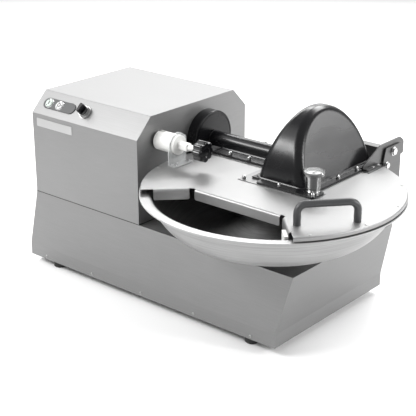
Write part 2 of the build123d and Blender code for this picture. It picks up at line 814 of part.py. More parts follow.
with BuildPart() as bowl_bearing_housing:
    with BuildSketch(Plane.XY.offset(tower_low)):
        with Locations((bowl_x, bowl_y)):
            Circle(housing_r)
    extrude(amount=tower_top - tower_low)
    with BuildSketch(Plane.XY.offset(deck_under)):
        with Locations((bowl_x, bowl_y)):
            Circle(tower_flange_r)
    extrude(amount=-tower_flange_t)
    fillet(bowl_bearing_housing.faces().sort_by(Axis.Z)[-1].edges(), 3)
    with BuildSketch(Plane.XY.offset(tower_low)):
        with Locations((bowl_x, bowl_y)):
            Circle(bearing_r - 4)
    extrude(amount=tower_top - tower_low, mode=Mode.SUBTRACT)
    for z, way in ((tower_low, 1), (tower_top, -1)):
        with BuildSketch(Plane.XY.offset(z)):
            with Locations((bowl_x, bowl_y)):
                Circle(bearing_r)
        extrude(amount=way * bearing_w, mode=Mode.SUBTRACT)
bowl_bearing_housing.part.label = "bowl_bearing_housing"
export_step(bowl_bearing_housing.part, "parts/bowl_bearing_housing.step")

with BuildPart() as bowl_bearings:
    for z in (tower_low, tower_top - bearing_w):
        with BuildSketch(Plane.XY.offset(z)):
            with Locations((bowl_x, bowl_y)):
                Circle(bearing_r)
                Circle(spindle_r + run_gap, mode=Mode.SUBTRACT)
        extrude(amount=bearing_w)
bowl_bearings.part.label = "bowl_bearings"
export_step(bowl_bearings.part, "parts/bowl_bearings.step")


def involute_angle(radius, base):
    """Polar angle of an involute of the base circle, at the radius."""
    roll = math.sqrt(max((radius / base) ** 2 - 1, 0))
    return roll - math.atan(roll)


def gear_outline(teeth, phase):
    """Involute gear outline as a closed run of points, first tooth turned to the phase."""
    pitch = gear_module * teeth / 2
    base = pitch * math.cos(math.radians(20))
    tip = pitch + 0.85 * gear_module
    root = pitch - 1.2 * gear_module
    half = math.pi / (2 * teeth) - backlash / (2 * pitch) + involute_angle(pitch, base)
    radii = [max(base, root), (base + pitch) / 2, pitch, (pitch + tip) / 2, tip]
    flank = [(root, half - involute_angle(radii[0], base))]
    flank += [(r, half - involute_angle(max(r, base), base)) for r in radii]
    outline = []
    for i in range(teeth):
        middle = phase + 2 * math.pi * i / teeth
        outline += [(r, middle - a) for r, a in flank]
        outline += [(r, middle + a) for r, a in reversed(flank)]
    return [(r * math.cos(a), r * math.sin(a)) for r, a in outline]


with BuildPart() as bowl_gear:
    with BuildSketch(Plane.XY.offset(gear_z)):
        with Locations((bowl_x, bowl_y)):
            Polygon(*gear_outline(gear_teeth, 0), align=None)
            Circle(spindle_r, mode=Mode.SUBTRACT)
            with PolarLocations(44, 5):
                Circle(14, mode=Mode.SUBTRACT)
    extrude(amount=gear_w)
bowl_gear.part.label = "bowl_gear"
export_step(bowl_gear.part, "parts/bowl_gear.step")

with BuildPart() as bowl_pinion:
    with BuildSketch(Plane.XY.offset(gear_z - 1)):
        with Locations((pinion_x, bowl_y)):
            Polygon(*gear_outline(pinion_teeth, math.pi / pinion_teeth), align=None)
    extrude(amount=gear_w + 2)
    with BuildSketch(Plane.XY.offset(gear_z - 1)):
        with Locations((pinion_x, bowl_y)):
            Circle(pinion_shaft_r)
    extrude(amount=-40)
bowl_pinion.part.label = "bowl_pinion"
export_step(bowl_pinion.part, "parts/bowl_pinion.step")

with BuildPart() as bowl_gearmotor:
    with BuildSketch(Plane.XY.offset(floor_z)):
        with Locations((pinion_x, bowl_y)):
            Rectangle(2 * gearmotor_r + 16, 2 * gearmotor_r)
    extrude(amount=5)
    with BuildSketch(Plane.XY.offset(floor_z)):
        with Locations((pinion_x, bowl_y)):
            Circle(gearmotor_r)
    extrude(amount=gearmotor_top - floor_z)
    fillet(bowl_gearmotor.faces().sort_by(Axis.Z)[-1].edges(), 4)
    with BuildSketch(Plane.XY.offset(gearmotor_top)):
        with Locations((pinion_x, bowl_y)):
            Circle(pinion_shaft_r + run_gap)
    extrude(amount=-34, mode=Mode.SUBTRACT)
bowl_gearmotor.part.label = "bowl_gearmotor"
export_step(bowl_gearmotor.part, "parts/bowl_gearmotor.step")

# ---- lid: turned-down disc with a feed opening in front and a slot for the knives
gauge_x = bowl_x + 103.0    # thermometer's axis, its probe passes through the lid
gauge_y = bowl_y + 8.0
probe_r = 3.0
slot_half = 17.0
opening_side = 5.0          # lid opening in from the dome's ends
opening_half = dome_half - 6.0
fold_end = lid_r - 29.5         # folds end here, clear of the bowl's wall
fold_relief = 6.5               # folds stop this far from the opening's corners
fold_low = lid_top - feed_fold
bend_lean = feed_bend * math.tan(math.radians(22.5))
diagonal = math.sqrt(0.5)
diagonal_length = math.sqrt(fold_end**2 - (feed_edge - feed_half) ** 2 / 2) - (feed_half + feed_edge) * diagonal
feed_corners = [
    (bowl_x - feed_half - bend_lean, bowl_y - feed_edge + feed_bend),
    (bowl_x + feed_half + bend_lean, bowl_y - feed_edge + feed_bend),
    (bowl_x + feed_half + bend_lean + 2 * lid_r, bowl_y - feed_edge + feed_bend - 2 * lid_r),
    (bowl_x - feed_half - bend_lean - 2 * lid_r, bowl_y - feed_edge + feed_bend - 2 * lid_r),
]


def fold(start_x, start_y, inward, length):
    """Edge of the feed opening folded down; inward points from the fold into the lid."""
    arc = feed_bend * (1 - diagonal)
    inner = feed_bend - lid_sheet
    inner_arc = lid_sheet + inner * (1 - diagonal)
    plane = Plane(origin=(start_x, start_y, lid_top), x_dir=inward, z_dir=(inward[1], -inward[0], 0))
    with BuildPart() as edge:
        with BuildSketch(plane):
            with BuildLine():
                ThreePointArc((feed_bend, 0), (arc, -arc), (0, -feed_bend))
                Polyline((0, -feed_bend), (0, -feed_fold), (lid_sheet, -feed_fold), (lid_sheet, -feed_bend))
                ThreePointArc((lid_sheet, -feed_bend), (inner_arc, -inner_arc), (feed_bend, -lid_sheet))
                Polyline(
                    (feed_bend, -lid_sheet), (feed_bend + 1, -lid_sheet), (feed_bend + 1, 0), (feed_bend, 0)
                )
            make_face()
        extrude(amount=length)
        fillet(edge.edges().filter_by(Axis((0, 0, 0), (*inward, 0))).group_by(Axis.Z)[0], 4)
    return edge


with BuildPart() as lid:
    with BuildSketch(Plane.XY.offset(skirt_z)):
        with Locations((bowl_x, bowl_y)):
            Circle(lid_r)
    extrude(amount=lid_top - skirt_z)
    fillet(lid.faces().sort_by(Axis.Z)[-1].edges(), 3)
    with BuildSketch(Plane.XY.offset(skirt_z)):
        with Locations((bowl_x, bowl_y)):
            Circle(lid_r - lid_sheet)
    extrude(amount=lid_top - lid_sheet - skirt_z, mode=Mode.SUBTRACT)
    with BuildSketch(Plane.XY.offset(fold_low - 2)):
        Polygon(*feed_corners, align=None)
        rectangle(bowl_x - lid_r - 1, dome_x, shaft_y - slot_half, shaft_y + slot_half)
        rectangle(
            dome_left + opening_side, dome_right - opening_side, shaft_y - opening_half, shaft_y + opening_half
        )
        with Locations((gauge_x, gauge_y)):
            Circle(probe_r + run_gap)
    extrude(amount=feed_fold + 4, mode=Mode.SUBTRACT)
    add(fold(bowl_x - feed_half + fold_relief, bowl_y - feed_edge, (0, 1), 2 * (feed_half - fold_relief)).part)
    add(
        fold(
            bowl_x + feed_half + fold_relief * diagonal,
            bowl_y - feed_edge - fold_relief * diagonal,
            (diagonal, diagonal),
            diagonal_length - fold_relief,
        ).part
    )
    add(
        fold(
            bowl_x - feed_half - diagonal_length * diagonal,
            bowl_y - feed_edge - diagonal_length * diagonal,
            (-diagonal, diagonal),
            diagonal_length - fold_relief,
        ).part
    )
lid.part.label = "lid"
export_step(lid.part, "parts/lid.step")

rivet_r = 4.0
rivet_ring_r = lid_r - 9.5
rivet_angles = [-38.1, -11.7, 14.7, 41.1, 168.7, 195.1]
with BuildPart() as lid_rivets:
    for angle in rivet_angles:
        spot = bowl_point(rivet_ring_r, angle)
        with Locations((*spot, lid_top)):
            Cylinder(rivet_r, 0.8, align=(Align.CENTER, Align.CENTER, Align.MIN))
        with Locations((*spot, lid_top + 0.8)):
            Cone(rivet_r, rivet_r * 0.6, 0.9, align=(Align.CENTER, Align.CENTER, Align.MIN))
lid_rivets.part.label = "lid_rivets"
export_step(lid_rivets.part, "parts/lid_rivets.step")

# ---- steel plate under the knife cover's flange
flange_y = shaft_y - dome_half - flange_front
flange_left = bowl_x - lid_r + 47.5
flange_right = dome_right + flange_side
tab_right = dome_right + 43.0
tab_back = flange_y + 44.0
flange_step = shaft_y + 57.0    # flange narrows here, in front of the right hinge arm
plate_left = dome_x - 96.0
plate_right = dome_x + 110.0
plate_front = flange_y - 2.5
clip_r = lid_r - 3.5
foot_back_y = shaft_y + 80.0
with BuildPart() as cover_plate:
    with BuildSketch(Plane.XY.offset(plate_z)):
        rectangle(plate_left, flange_right + 2, plate_front, bowl_y + clip_r)
        rectangle(dome_x, tab_right, plate_front, tab_back + 2)
        rectangle(dome_x, plate_right, flange_step, bowl_y + clip_r)
        rectangle(plate_left - 15, dome_x, foot_back_y, bowl_y + clip_r)
        rectangle(flange_left, dome_x, shaft_y - rail_w, shaft_y + rail_w)
        with Locations((bowl_x, bowl_y)):
            Circle(clip_r, mode=Mode.INTERSECT)
        rectangle(flange_left - 1, dome_x, shaft_y - slot_half, shaft_y + slot_half, mode=Mode.SUBTRACT)
        rectangle(
            dome_left + opening_side,
            dome_right - opening_side,
            shaft_y - opening_half,
            shaft_y + opening_half,
            mode=Mode.SUBTRACT,
        )
        with Locations((gauge_x, gauge_y)):
            Circle(probe_r + run_gap, mode=Mode.SUBTRACT)
    extrude(amount=plate_t)
cover_plate.part.label = "cover_plate"
export_step(cover_plate.part, "parts/cover_plate.step")

# ---- knife cover: drafted half-dome moulding with a trunk over the knife shaft
dome_base_z = flange_z + 4.0
dome_rise = dome_top - dome_base_z
arm_left = wall_x + disc_t + arm_gap
bead_t = 2.0            # raised bead round the foot of the dome and its trunk
bead_w = 4.0
bead_half = 34.0
rail_half = rail_w - 8.0
foot_start = 22.0       # flange starts this far right of the dome's left end


def dome_form(inset):
    """Half-ellipse block with drafted ends and rounded shoulders, set in by the wall."""
    half = dome_half - inset
    low = flange_z - (1 if inset else 0)
    with BuildPart() as form:
        with BuildSketch(side_plane(dome_left)):
            with Locations((shaft_y, dome_base_z)):
                Ellipse(half, dome_rise - inset)
            rectangle(shaft_y - half, shaft_y + half, dome_base_z - dome_rise, dome_base_z, mode=Mode.SUBTRACT)
            rectangle(shaft_y - half, shaft_y + half, low, dome_base_z)
        extrude(amount=dome_w)
        for x, run, way in ((dome_left, dome_in_left, 1), (dome_right, dome_in_right, -1)):
            lean = math.atan(run / (dome_top - flange_z))
            end = Plane(
                origin=(x + way * inset / math.cos(lean), shaft_y, flange_z),
                x_dir=(0, 1, 0),
                z_dir=(way * math.cos(lean), 0, -math.sin(lean)),
            )
            split(bisect_by=end, keep=Keep.TOP)
        ends = form.faces().sort_by(Axis.X)
        fillet(ends[0].edges().sort_by(Axis.Z)[1:] + ends[-1].edges().sort_by(Axis.Z)[1:], dome_round - inset)
    return form


with BuildPart() as dome_cover:
    with BuildSketch(Plane.XY.offset(flange_z)) as flange:
        rectangle(dome_left + foot_start, tab_right, flange_y, tab_back)
        fillet(flange.vertices(), 7)
        rectangle(dome_left + foot_start + 10, flange_right, tab_back - 20, flange_step)
        rectangle(dome_left - bead_w - 1, dome_right + 14, shaft_y - dome_half - bead_w - 1, bowl_y + clip_r)
        rectangle(flange_left, dome_x, shaft_y - rail_half, shaft_y + rail_half)
        with Locations((bowl_x, bowl_y)):
            Circle(clip_r, mode=Mode.INTERSECT)
        with Locations((gauge_x, gauge_y)):
            Circle(probe_r + run_gap, mode=Mode.SUBTRACT)
    extrude(amount=flange_t)
    with BuildSketch(Plane.XY.offset(flange_top)):
        with Locations((dome_x, shaft_y)):
            RectangleRounded(dome_w + 2 * bead_w, 2 * (dome_half + bead_w), dome_round)
        rectangle(flange_left + bead_w, dome_x, shaft_y - bead_half, shaft_y + bead_half)
        with Locations((bowl_x, bowl_y)):
            Circle(clip_r - 1, mode=Mode.INTERSECT)
    extrude(amount=bead_t, taper=35)
    add(dome_form(0).part)
    with BuildSketch(side_plane(arm_left)):
        with Locations((shaft_y, shaft_z)):
            Circle(arm_r)
        rectangle(shaft_y - arm_r, shaft_y + arm_r, flange_z, shaft_z)
        rectangle(shaft_y - arm_r, shaft_y + arm_r, flange_z - arm_r, flange_z, mode=Mode.SUBTRACT)
    extrude(amount=dome_left + 20 - arm_left)
    add(dome_form(cover_wall).part, mode=Mode.SUBTRACT)
    with BuildSketch(side_plane(arm_left)):
        with Locations((shaft_y, shaft_z)):
            Circle(arm_r - cover_wall)
        rectangle(shaft_y - arm_r + cover_wall, shaft_y + arm_r - cover_wall, flange_z - 1, shaft_z)
    extrude(amount=dome_left + 24 - arm_left, mode=Mode.SUBTRACT)
dome_cover.part.label = "dome_cover"
export_step(dome_cover.part, "parts/dome_cover.step")

nut_spots = [
    (flange_left + 51, shaft_y - rail_half + 7, flange_top),
    (flange_left + 109, shaft_y - rail_half + 7, flange_top),
    (flange_left + 66, shaft_y + rail_half - 7, flange_top),
    (flange_left + 109, shaft_y + rail_half - 7, flange_top),
    (dome_x + 14, flange_y + 8, flange_top),
    (tab_right - 6.5, flange_y + 6, flange_top),
    (dome_right + 14, shaft_y - 30, flange_top),
    (dome_right + 14, shaft_y + 46, flange_top),
    (plate_left + 10, plate_front + 11, flange_z),
]
with BuildPart() as cover_nuts:
    for x, y, z in nut_spots:
        with BuildSketch(Plane.XY.offset(z)):
            with Locations((x, y)):
                RegularPolygon(5, 6, major_radius=False)
        extrude(amount=4.5)
        with Locations((x, y, z + 4.5)):
            Cylinder(4.6, 1.5, align=(Align.CENTER, Align.CENTER, Align.MIN))
        with Locations((x, y, z + 6)):
            Cone(4.6, 2.2, 2.5, align=(Align.CENTER, Align.CENTER, Align.MIN))
cover_nuts.part.label = "cover_nuts"
export_step(cover_nuts.part, "parts/cover_nuts.step")

# ---- thermometer on the flange's tab, its probe reaching into the bowl
gauge_r = 25.0
gauge_top = 409.0
gauge_cup = 12.0
gauge_body_r = 15.5
probe_z = 290.0
dial_z = gauge_top - 6.5
with BuildPart() as thermometer_case:
    with BuildSketch(Plane(origin=(gauge_x, gauge_y, 0), x_dir=(1, 0, 0), z_dir=(0, -1, 0))):
        with BuildLine():
            Polyline(
                (0, flange_top),
                (gauge_body_r, flange_top),
                (gauge_body_r, flange_top + 6),
                (gauge_body_r - 1, flange_top + 7.5),
                (gauge_body_r - 1, flange_top + 11),
                (gauge_body_r, flange_top + 12.5),
                (gauge_body_r + 1, gauge_top - gauge_cup),
                (gauge_r - 2, gauge_top - gauge_cup + 3),
                (gauge_r, gauge_top - 3),
                (gauge_r - 1, gauge_top),
                (gauge_r - 2.5, gauge_top),
                (gauge_r - 2.5, dial_z),
                (0, dial_z),
                close=True,
            )
        make_face()
    revolve(axis=Axis((gauge_x, gauge_y, 0), (0, 0, 1)))
    with BuildSketch(Plane.XY.offset(flange_top)):
        with Locations((gauge_x, gauge_y)):
            Circle(probe_r)
    extrude(amount=probe_z - flange_top)
    fillet(thermometer_case.faces().sort_by(Axis.Z)[0].edges(), 2)
thermometer_case.part.label = "thermometer_case"
export_step(thermometer_case.part, "parts/thermometer_case.step")

with BuildPart() as thermometer_glass:
    with BuildSketch(Plane.XY.offset(gauge_top - 2.5)):
        with Locations((gauge_x, gauge_y)):
            Circle(gauge_r - 2.5)
    extrude(amount=1.5)
thermometer_glass.part.label = "thermometer_glass"
export_step(thermometer_glass.part, "parts/thermometer_glass.step")

needle_z = dial_z + 2.5
with BuildPart() as thermometer_needle:
    with BuildSketch(Plane.XY.offset(needle_z)):
        with Locations((gauge_x, gauge_y)):
            Circle(2.2)
            Polygon((-1.2, -7), (1.2, -7), (0.4, 17), (-0.4, 17), align=None)
    extrude(amount=0.8)
    with BuildSketch(Plane.XY.offset(dial_z)):
        with Locations((gauge_x, gauge_y)):
            Circle(0.8)
    extrude(amount=needle_z - dial_z)
thermometer_needle.part.label = "thermometer_needle"
export_step(thermometer_needle.part, "parts/thermometer_needle.step")

# ---- lid handle: bent tube on the right of the lid
handle_r = 8.0
handle_low = bowl_point(lid_r - 65.0, -40.8)
handle_high = bowl_point(lid_r - 32.0, -12.2)
handle_top = 397.0
handle_bend = 19.0
handle_span = math.dist(handle_low, handle_high)
handle_dir = ((handle_high[0] - handle_low[0]) / handle_span, (handle_high[1] - handle_low[1]) / handle_span, 0)
handle_plane = Plane(
    origin=(*handle_low, lid_top), x_dir=handle_dir, z_dir=(handle_dir[1], -handle_dir[0], 0)
)
with BuildPart() as lid_handle:
    with BuildLine(handle_plane) as handle_path:
        FilletPolyline(
            (0, 0), (0, handle_top - lid_top), (handle_span, handle_top - lid_top), (handle_span, 0),
            radius=handle_bend,
        )
    with BuildSketch(Plane(origin=(*handle_low, lid_top), z_dir=(0, 0, 1))):
        Circle(handle_r)
    sweep()
lid_handle.part.label = "lid_handle"
export_step(lid_handle.part, "parts/lid_handle.step")

# ---- bowl scraper: follows the trough's wall, flat on the feed side of the right diagonal fold
scraper_gap = 1.5
scraper_t = 8.0
scraper_in = 236.0
scraper_low = 302.0
scraper_top = lid_top - feed_bend - 2
fold_offset = (feed_edge - feed_half) / 2
fold_plane = Plane(origin=(bowl_x - fold_offset, bowl_y - fold_offset, 0), x_dir=(1, -1, 0), z_dir=(-1, -1, 0))
with BuildPart() as bowl_scraper:
    with BuildSketch(fold_plane):
        with Locations((shaft_offset, shaft_z)):
            Circle(trough_r - scraper_gap)
        rectangle(scraper_in, scraper_in + 60, scraper_low, scraper_top, mode=Mode.INTERSECT)
    extrude(amount=scraper_t)
bowl_scraper.part.label = "bowl_scraper"
export_step(bowl_scraper.part, "parts/bowl_scraper.step")

# ---- hinge: two arms on the lid turn on pins in the rear post's cheeks
arm_boss_low = pivot_z - 21.0
arm_top = pivot_z + 27.0
foot_w = 12.0
foot_t = 3.0
pin_r = 6.0
cheek_gap = 1.0
arm_foot_back = foot_back_y + 40.0


def hinge_arm(outer_x, side, front_y, front_h):
    """Arm plate with its riveted foot turned outwards; side is +1 to the right."""
    with BuildPart() as arm:
        with BuildSketch(side_plane(outer_x - side * hinge_plate)) as plate:
            with BuildLine():
                Polyline(
                    (front_y, flange_z),
                    (front_y, flange_z + front_h),
                    (pivot_y - 49, arm_top),
                    (pivot_y + 36, arm_top),
                    (pivot_y + arm_tail, pivot_z + 14),
                    (pivot_y + arm_tail, pivot_z - 18),
                    (pivot_y + 17, arm_boss_low),
                    (pivot_y - 33, arm_boss_low),
                    (pivot_y - 45, flange_z),
                    close=True,
                )
            make_face()
            fillet(plate.vertices().sort_by_distance((pivot_y - 49, arm_top))[0], 30)
            fillet(plate.vertices().sort_by_distance((pivot_y + 36, arm_top))[0], 10)
            fillet(plate.vertices().sort_by_distance((pivot_y + arm_tail, pivot_z + 14))[0], 10)
            fillet(plate.vertices().sort_by_distance((pivot_y + arm_tail, pivot_z - 18))[0], 4)
        extrude(amount=side * hinge_plate)
        with BuildSketch(Plane.XY.offset(flange_z)) as foot:
            rectangle(
                min(outer_x - side, outer_x + side * foot_w),
                max(outer_x - side, outer_x + side * foot_w),
                front_y + 3,
                arm_foot_back,
            )
            fillet(foot.vertices().group_by(Axis.X)[-1 if side > 0 else 0], 3)
        extrude(amount=foot_t)
        with Locations(Plane(origin=(outer_x, pivot_y, pivot_z), x_dir=(0, 1, 0), z_dir=(1, 0, 0))):
            Cylinder(pin_r + run_gap, 20, mode=Mode.SUBTRACT)
    return arm


arm_right = hinge_arm(dome_x + hinge_arm_x, 1, flange_step + 3, 11)
arm_right.part.label = "arm_right"
export_step(arm_right.part, "parts/arm_right.step")
arm_left_plate = hinge_arm(dome_x - hinge_arm_x, -1, foot_back_y - 5, 18)
arm_left_plate.part.label = "arm_left"
export_step(arm_left_plate.part, "parts/arm_left.step")

with BuildPart() as arm_rivets:
    for side in (-1, 1):
        for y in (arm_foot_back - 30, arm_foot_back - 8):
            with Locations((dome_x + side * (hinge_arm_x + 7), y, flange_z + foot_t)):
                Cylinder(3.5, 0.8, align=(Align.CENTER, Align.CENTER, Align.MIN))
            with Locations((dome_x + side * (hinge_arm_x + 7), y, flange_z + foot_t + 0.8)):
                Cone(3.5, 2, 1.2, align=(Align.CENTER, Align.CENTER, Align.MIN))
arm_rivets.part.label = "arm_rivets"
export_step(arm_rivets.part, "parts/arm_rivets.step")

post_back = pivot_y + 35.0
post_front = pivot_y + 11.0
post_low = 110.0
post_low_in = 35.0          # post narrows by this at each side of its foot
post_wide_top = pivot_z - 62.0
box_top = pivot_z - 4.0
box_half = hinge_arm_x - hinge_plate - 1.5
lug_t = 4.0
cheek_in = dome_x + hinge_arm_x + cheek_gap
cheek_out = cheek_in + cheek_t
post_left = dome_x - hinge_arm_x - cheek_gap - cheek_t
wall_rake = base_rake / base_h
with BuildPart() as hinge_post:
    with BuildSketch(side_plane(post_left)):
        with BuildLine():
            Polyline(
                (back + wall_rake * (seam_z - post_low), post_low),
                (back, seam_z),
                (post_front, post_wide_top - 30),
                (post_front, post_wide_top),
                (post_back, post_wide_top),
                (post_back, post_low),
                close=True,
            )
        make_face()
    extrude(amount=cheek_out - post_left)
    with BuildSketch(Plane.XZ.offset(-back)):
        with BuildLine():
            Polyline(
                (post_left + post_low_in, post_low),
                (post_left, post_wide_top - 4),
                (post_left, post_wide_top),
                (cheek_out, post_wide_top),
                (cheek_out, post_wide_top - 4),
                (cheek_out - post_low_in, post_low),
                close=True,
            )
        make_face()
    extrude(amount=-100, both=True, mode=Mode.INTERSECT)
    with BuildSketch(side_plane(dome_x - box_half)):
        rectangle(post_front, post_back, post_wide_top - 1, box_top)
    extrude(amount=2 * box_half)
    for x in (post_left, cheek_in):
        with BuildSketch(side_plane(x)) as cheek:
            with BuildLine():
                Polyline(
                    (post_front, post_wide_top - 12),
                    (pivot_y - 39, pivot_z - 36),
                    (pivot_y - 42, pivot_z - 16),
                    (pivot_y - 34, pivot_z + 14),
                    (post_back, pivot_z + 14),
                    (post_back, post_wide_top - 12),
                    close=True,
                )
            make_face()
            fillet(cheek.vertices().group_by(Axis.Y)[-1], 6)
        extrude(amount=cheek_t)
    for x in (dome_x - box_half, dome_x + box_half - lug_t):
        with BuildSketch(side_plane(x)):
            with Locations((pivot_y, pivot_z)):
                Circle(pin_r + 5)
            rectangle(pivot_y, post_front + 1, pivot_z - 30, box_top)
        extrude(amount=lug_t)
    for x in (post_left + cheek_t / 2, cheek_in + cheek_t / 2, dome_x - box_half + lug_t / 2, dome_x + box_half - lug_t / 2):
        with Locations(Plane(origin=(x, pivot_y, pivot_z), x_dir=(0, 1, 0), z_dir=(1, 0, 0))):
            Cylinder(pin_r, cheek_t + 1, mode=Mode.SUBTRACT)
hinge_post.part.label = "hinge_post"
export_step(hinge_post.part, "parts/hinge_post.step")

bolt_spot = (pivot_y - 29, pivot_z - 28)
with BuildPart() as hinge_pins:
    for x, way in ((post_left, -1), (cheek_out, 1)):
        with BuildSketch(side_plane(x)):
            with Locations((pivot_y, pivot_z)):
                Circle(11)
            with Locations(bolt_spot):
                Circle(9)
        extrude(amount=way * 1.5)
        with BuildSketch(side_plane(x)):
            with Locations((pivot_y, pivot_z)):
                RegularPolygon(9, 6)
            with Locations(bolt_spot):
                RegularPolygon(7.5, 6)
        extrude(amount=way * 6)
        with BuildSketch(side_plane(x)):
            with Locations((pivot_y, pivot_z)):
                Circle(pin_r)
        extrude(amount=-way * (cheek_out - dome_x - box_half + lug_t))
hinge_pins.part.label = "hinge_pins"
export_step(hinge_pins.part, "parts/hinge_pins.step")

# ---- lid catch beside the cabinet: clear bracket, white turned body and a star knob
catch_y = front + catch_from_front
bracket_x = wall_x + 60.0
bracket_t = 3.0
bracket_foot = 27.0
bracket_half = 30.5
bracket_top = 418.0
body_left = wall_x + 5.0
body_right = wall_x + 70.0
neck_r = 16.0
sleeve_r = 9.0
sleeve_right = wall_x + 99.0
cone_right = wall_x + 121.0
stud_r = 4.0
knob_left = wall_x + 127.0
knob_w = 26.0


def catch_plane(x):
    """Plane across the catch's axis at x."""
    return Plane(origin=(x, catch_y, catch_z), x_dir=(0, 1, 0), z_dir=(1, 0, 0))


with BuildPart() as catch_bracket:
    with BuildSketch(side_plane(bracket_x)) as leg:
        rectangle(catch_y - bracket_half, catch_y + bracket_half, lid_top, bracket_top)
        fillet(leg.vertices().group_by(Axis.Y)[-1], 9)
        with Locations((catch_y, catch_z)):
            Circle(catch_r + 6)
    extrude(amount=bracket_t)
    with BuildSketch(Plane.XY.offset(lid_top)) as foot:
        rectangle(bracket_x, bracket_x + bracket_foot, catch_y - bracket_half, catch_y + bracket_half)
        fillet(foot.vertices().group_by(Axis.X)[-1], 7)
    extrude(amount=bracket_t)
    with BuildSketch(catch_plane(bracket_x)):
        Circle(neck_r)
    extrude(amount=bracket_t, mode=Mode.SUBTRACT)
catch_bracket.part.label = "catch_bracket"
export_step(catch_bracket.part, "parts/catch_bracket.step")

with BuildPart() as catch_body:
    with BuildSketch(catch_plane(body_left)):
        Circle(catch_r)
    extrude(amount=bracket_x - body_left)
    chamfer(catch_body.faces().sort_by(Axis.X)[0].edges(), 2)
    with BuildSketch(catch_plane(bracket_x)):
        Circle(neck_r)
    extrude(amount=bracket_t)
    with BuildSketch(catch_plane(bracket_x + bracket_t)):
        Circle(catch_r)
    extrude(amount=body_right - bracket_x - bracket_t)
    with BuildSketch(catch_plane(body_left)):
        with Locations((0, catch_r)):
            Rectangle(9, 14)
    extrude(amount=20, mode=Mode.SUBTRACT)
    with BuildSketch(catch_plane(body_right)):
        RectangleRounded(2 * sleeve_r, 2 * sleeve_r, 4)
    extrude(amount=sleeve_right - body_right)
    with BuildSketch(catch_plane(sleeve_right)):
        Circle(sleeve_r - 1)
    extrude(amount=cone_right - sleeve_right, taper=6)
    with BuildSketch(catch_plane(cone_right)):
        Circle(stud_r + run_gap)
    extrude(amount=-40, mode=Mode.SUBTRACT)
catch_body.part.label = "catch_body"
export_step(catch_body.part, "parts/catch_body.step")

with BuildPart() as catch_screws:
    for y in (catch_y - bracket_half + 11, catch_y + bracket_half - 11):
        with Locations((bracket_x + 15, y, lid_top + bracket_t)):
            Cylinder(4.5, 2.5, align=(Align.CENTER, Align.CENTER, Align.MIN))
catch_screws.part.label = "catch_screws"
export_step(catch_screws.part, "parts/catch_screws.step")

lobe_count = 8
with BuildPart() as star_knob:
    with BuildSketch(catch_plane(knob_left)):
        Circle(12)
    extrude(amount=12)
    with BuildSketch(catch_plane(knob_left + 9)):
        Circle(knob_r - 5)
        with PolarLocations(knob_r - 6, lobe_count):
            Circle(6)
    extrude(amount=knob_w - 9)
    fillet(star_knob.faces().sort_by(Axis.X)[-1].edges(), 2)
    with BuildSketch(catch_plane(knob_left)):
        Circle(stud_r)
    extrude(amount=-36)
star_knob.part.label = "star_knob"
export_step(star_knob.part, "parts/star_knob.step")
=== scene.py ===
import bpy
import bmesh
import math
from mathutils import Matrix, Vector


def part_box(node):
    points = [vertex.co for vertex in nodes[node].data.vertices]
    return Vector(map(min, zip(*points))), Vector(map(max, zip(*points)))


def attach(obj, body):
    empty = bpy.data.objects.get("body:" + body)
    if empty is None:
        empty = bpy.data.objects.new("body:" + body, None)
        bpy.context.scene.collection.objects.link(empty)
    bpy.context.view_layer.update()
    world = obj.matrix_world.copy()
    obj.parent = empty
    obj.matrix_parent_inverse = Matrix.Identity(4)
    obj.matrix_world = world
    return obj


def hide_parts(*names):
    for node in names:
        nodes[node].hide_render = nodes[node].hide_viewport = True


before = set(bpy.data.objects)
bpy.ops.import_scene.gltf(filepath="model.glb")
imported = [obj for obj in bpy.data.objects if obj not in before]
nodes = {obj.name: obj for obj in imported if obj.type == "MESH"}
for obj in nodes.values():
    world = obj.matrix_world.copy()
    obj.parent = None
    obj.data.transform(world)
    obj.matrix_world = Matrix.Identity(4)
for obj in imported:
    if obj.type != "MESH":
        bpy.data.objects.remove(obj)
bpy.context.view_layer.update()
print("frame loaded:", len(nodes), "nodes")

# camera, floor and the light from all round
studio = {
    "cameraAt": (1.5855, -1.8836, 1.2027),
    "cameraLooks": (-0.604, 0.708, -0.3666),
    "lensMm": 94.85,
    "sensorMm": 36,
    "clipStart": 0.05,
    "floorSize": 14,
    "floorTone": (0.96, 0.96, 0.96, 1),
    "floorRough": 0.8,
    "worldTone": (1.0, 1.0, 1.0, 1),
    "worldPower": 0.5,
}

# each softbox: where it hangs, what it faces, its size and how bright its face is
softboxes = {
    "backPanel": {"at": (-2.1, 2.6, 1.75), "faces": (0.0, 0.0, 0.35), "size": (3.6, 2.7), "glow": 1.75},
    "frontTop": {"at": (-2.0, -1.1, 2.4), "faces": (-0.3, -0.1, 0.4), "size": (2.0, 1.8), "glow": 1.7},
    "overhead": {"at": (0.05, 2.2, 2.4), "faces": (0.1, 0.1, 0.3), "size": (1.9, 0.9), "glow": 12.5},
    "trunkStrip": {"at": (-1.7, 1.65, 2.05), "faces": (0.0, 0.1, 0.38), "size": (1.5, 0.35), "glow": 10.0},
    "sidePanel": {"at": (2.1, 2.0, 1.05), "faces": (0.2, 0.1, 0.42), "size": (1.3, 0.9), "glow": 6.5},
    "frontStrip": {"at": (-1.25, -1.66, 1.8), "faces": (0.2, 0.0, 0.43), "size": (1.5, 0.6), "glow": 18.0},
    "rightStrip": {"at": (2.2, 0.5, 1.28), "faces": (0.27, 0.0, 0.4), "size": (0.35, 0.8), "glow": 22.0},
}


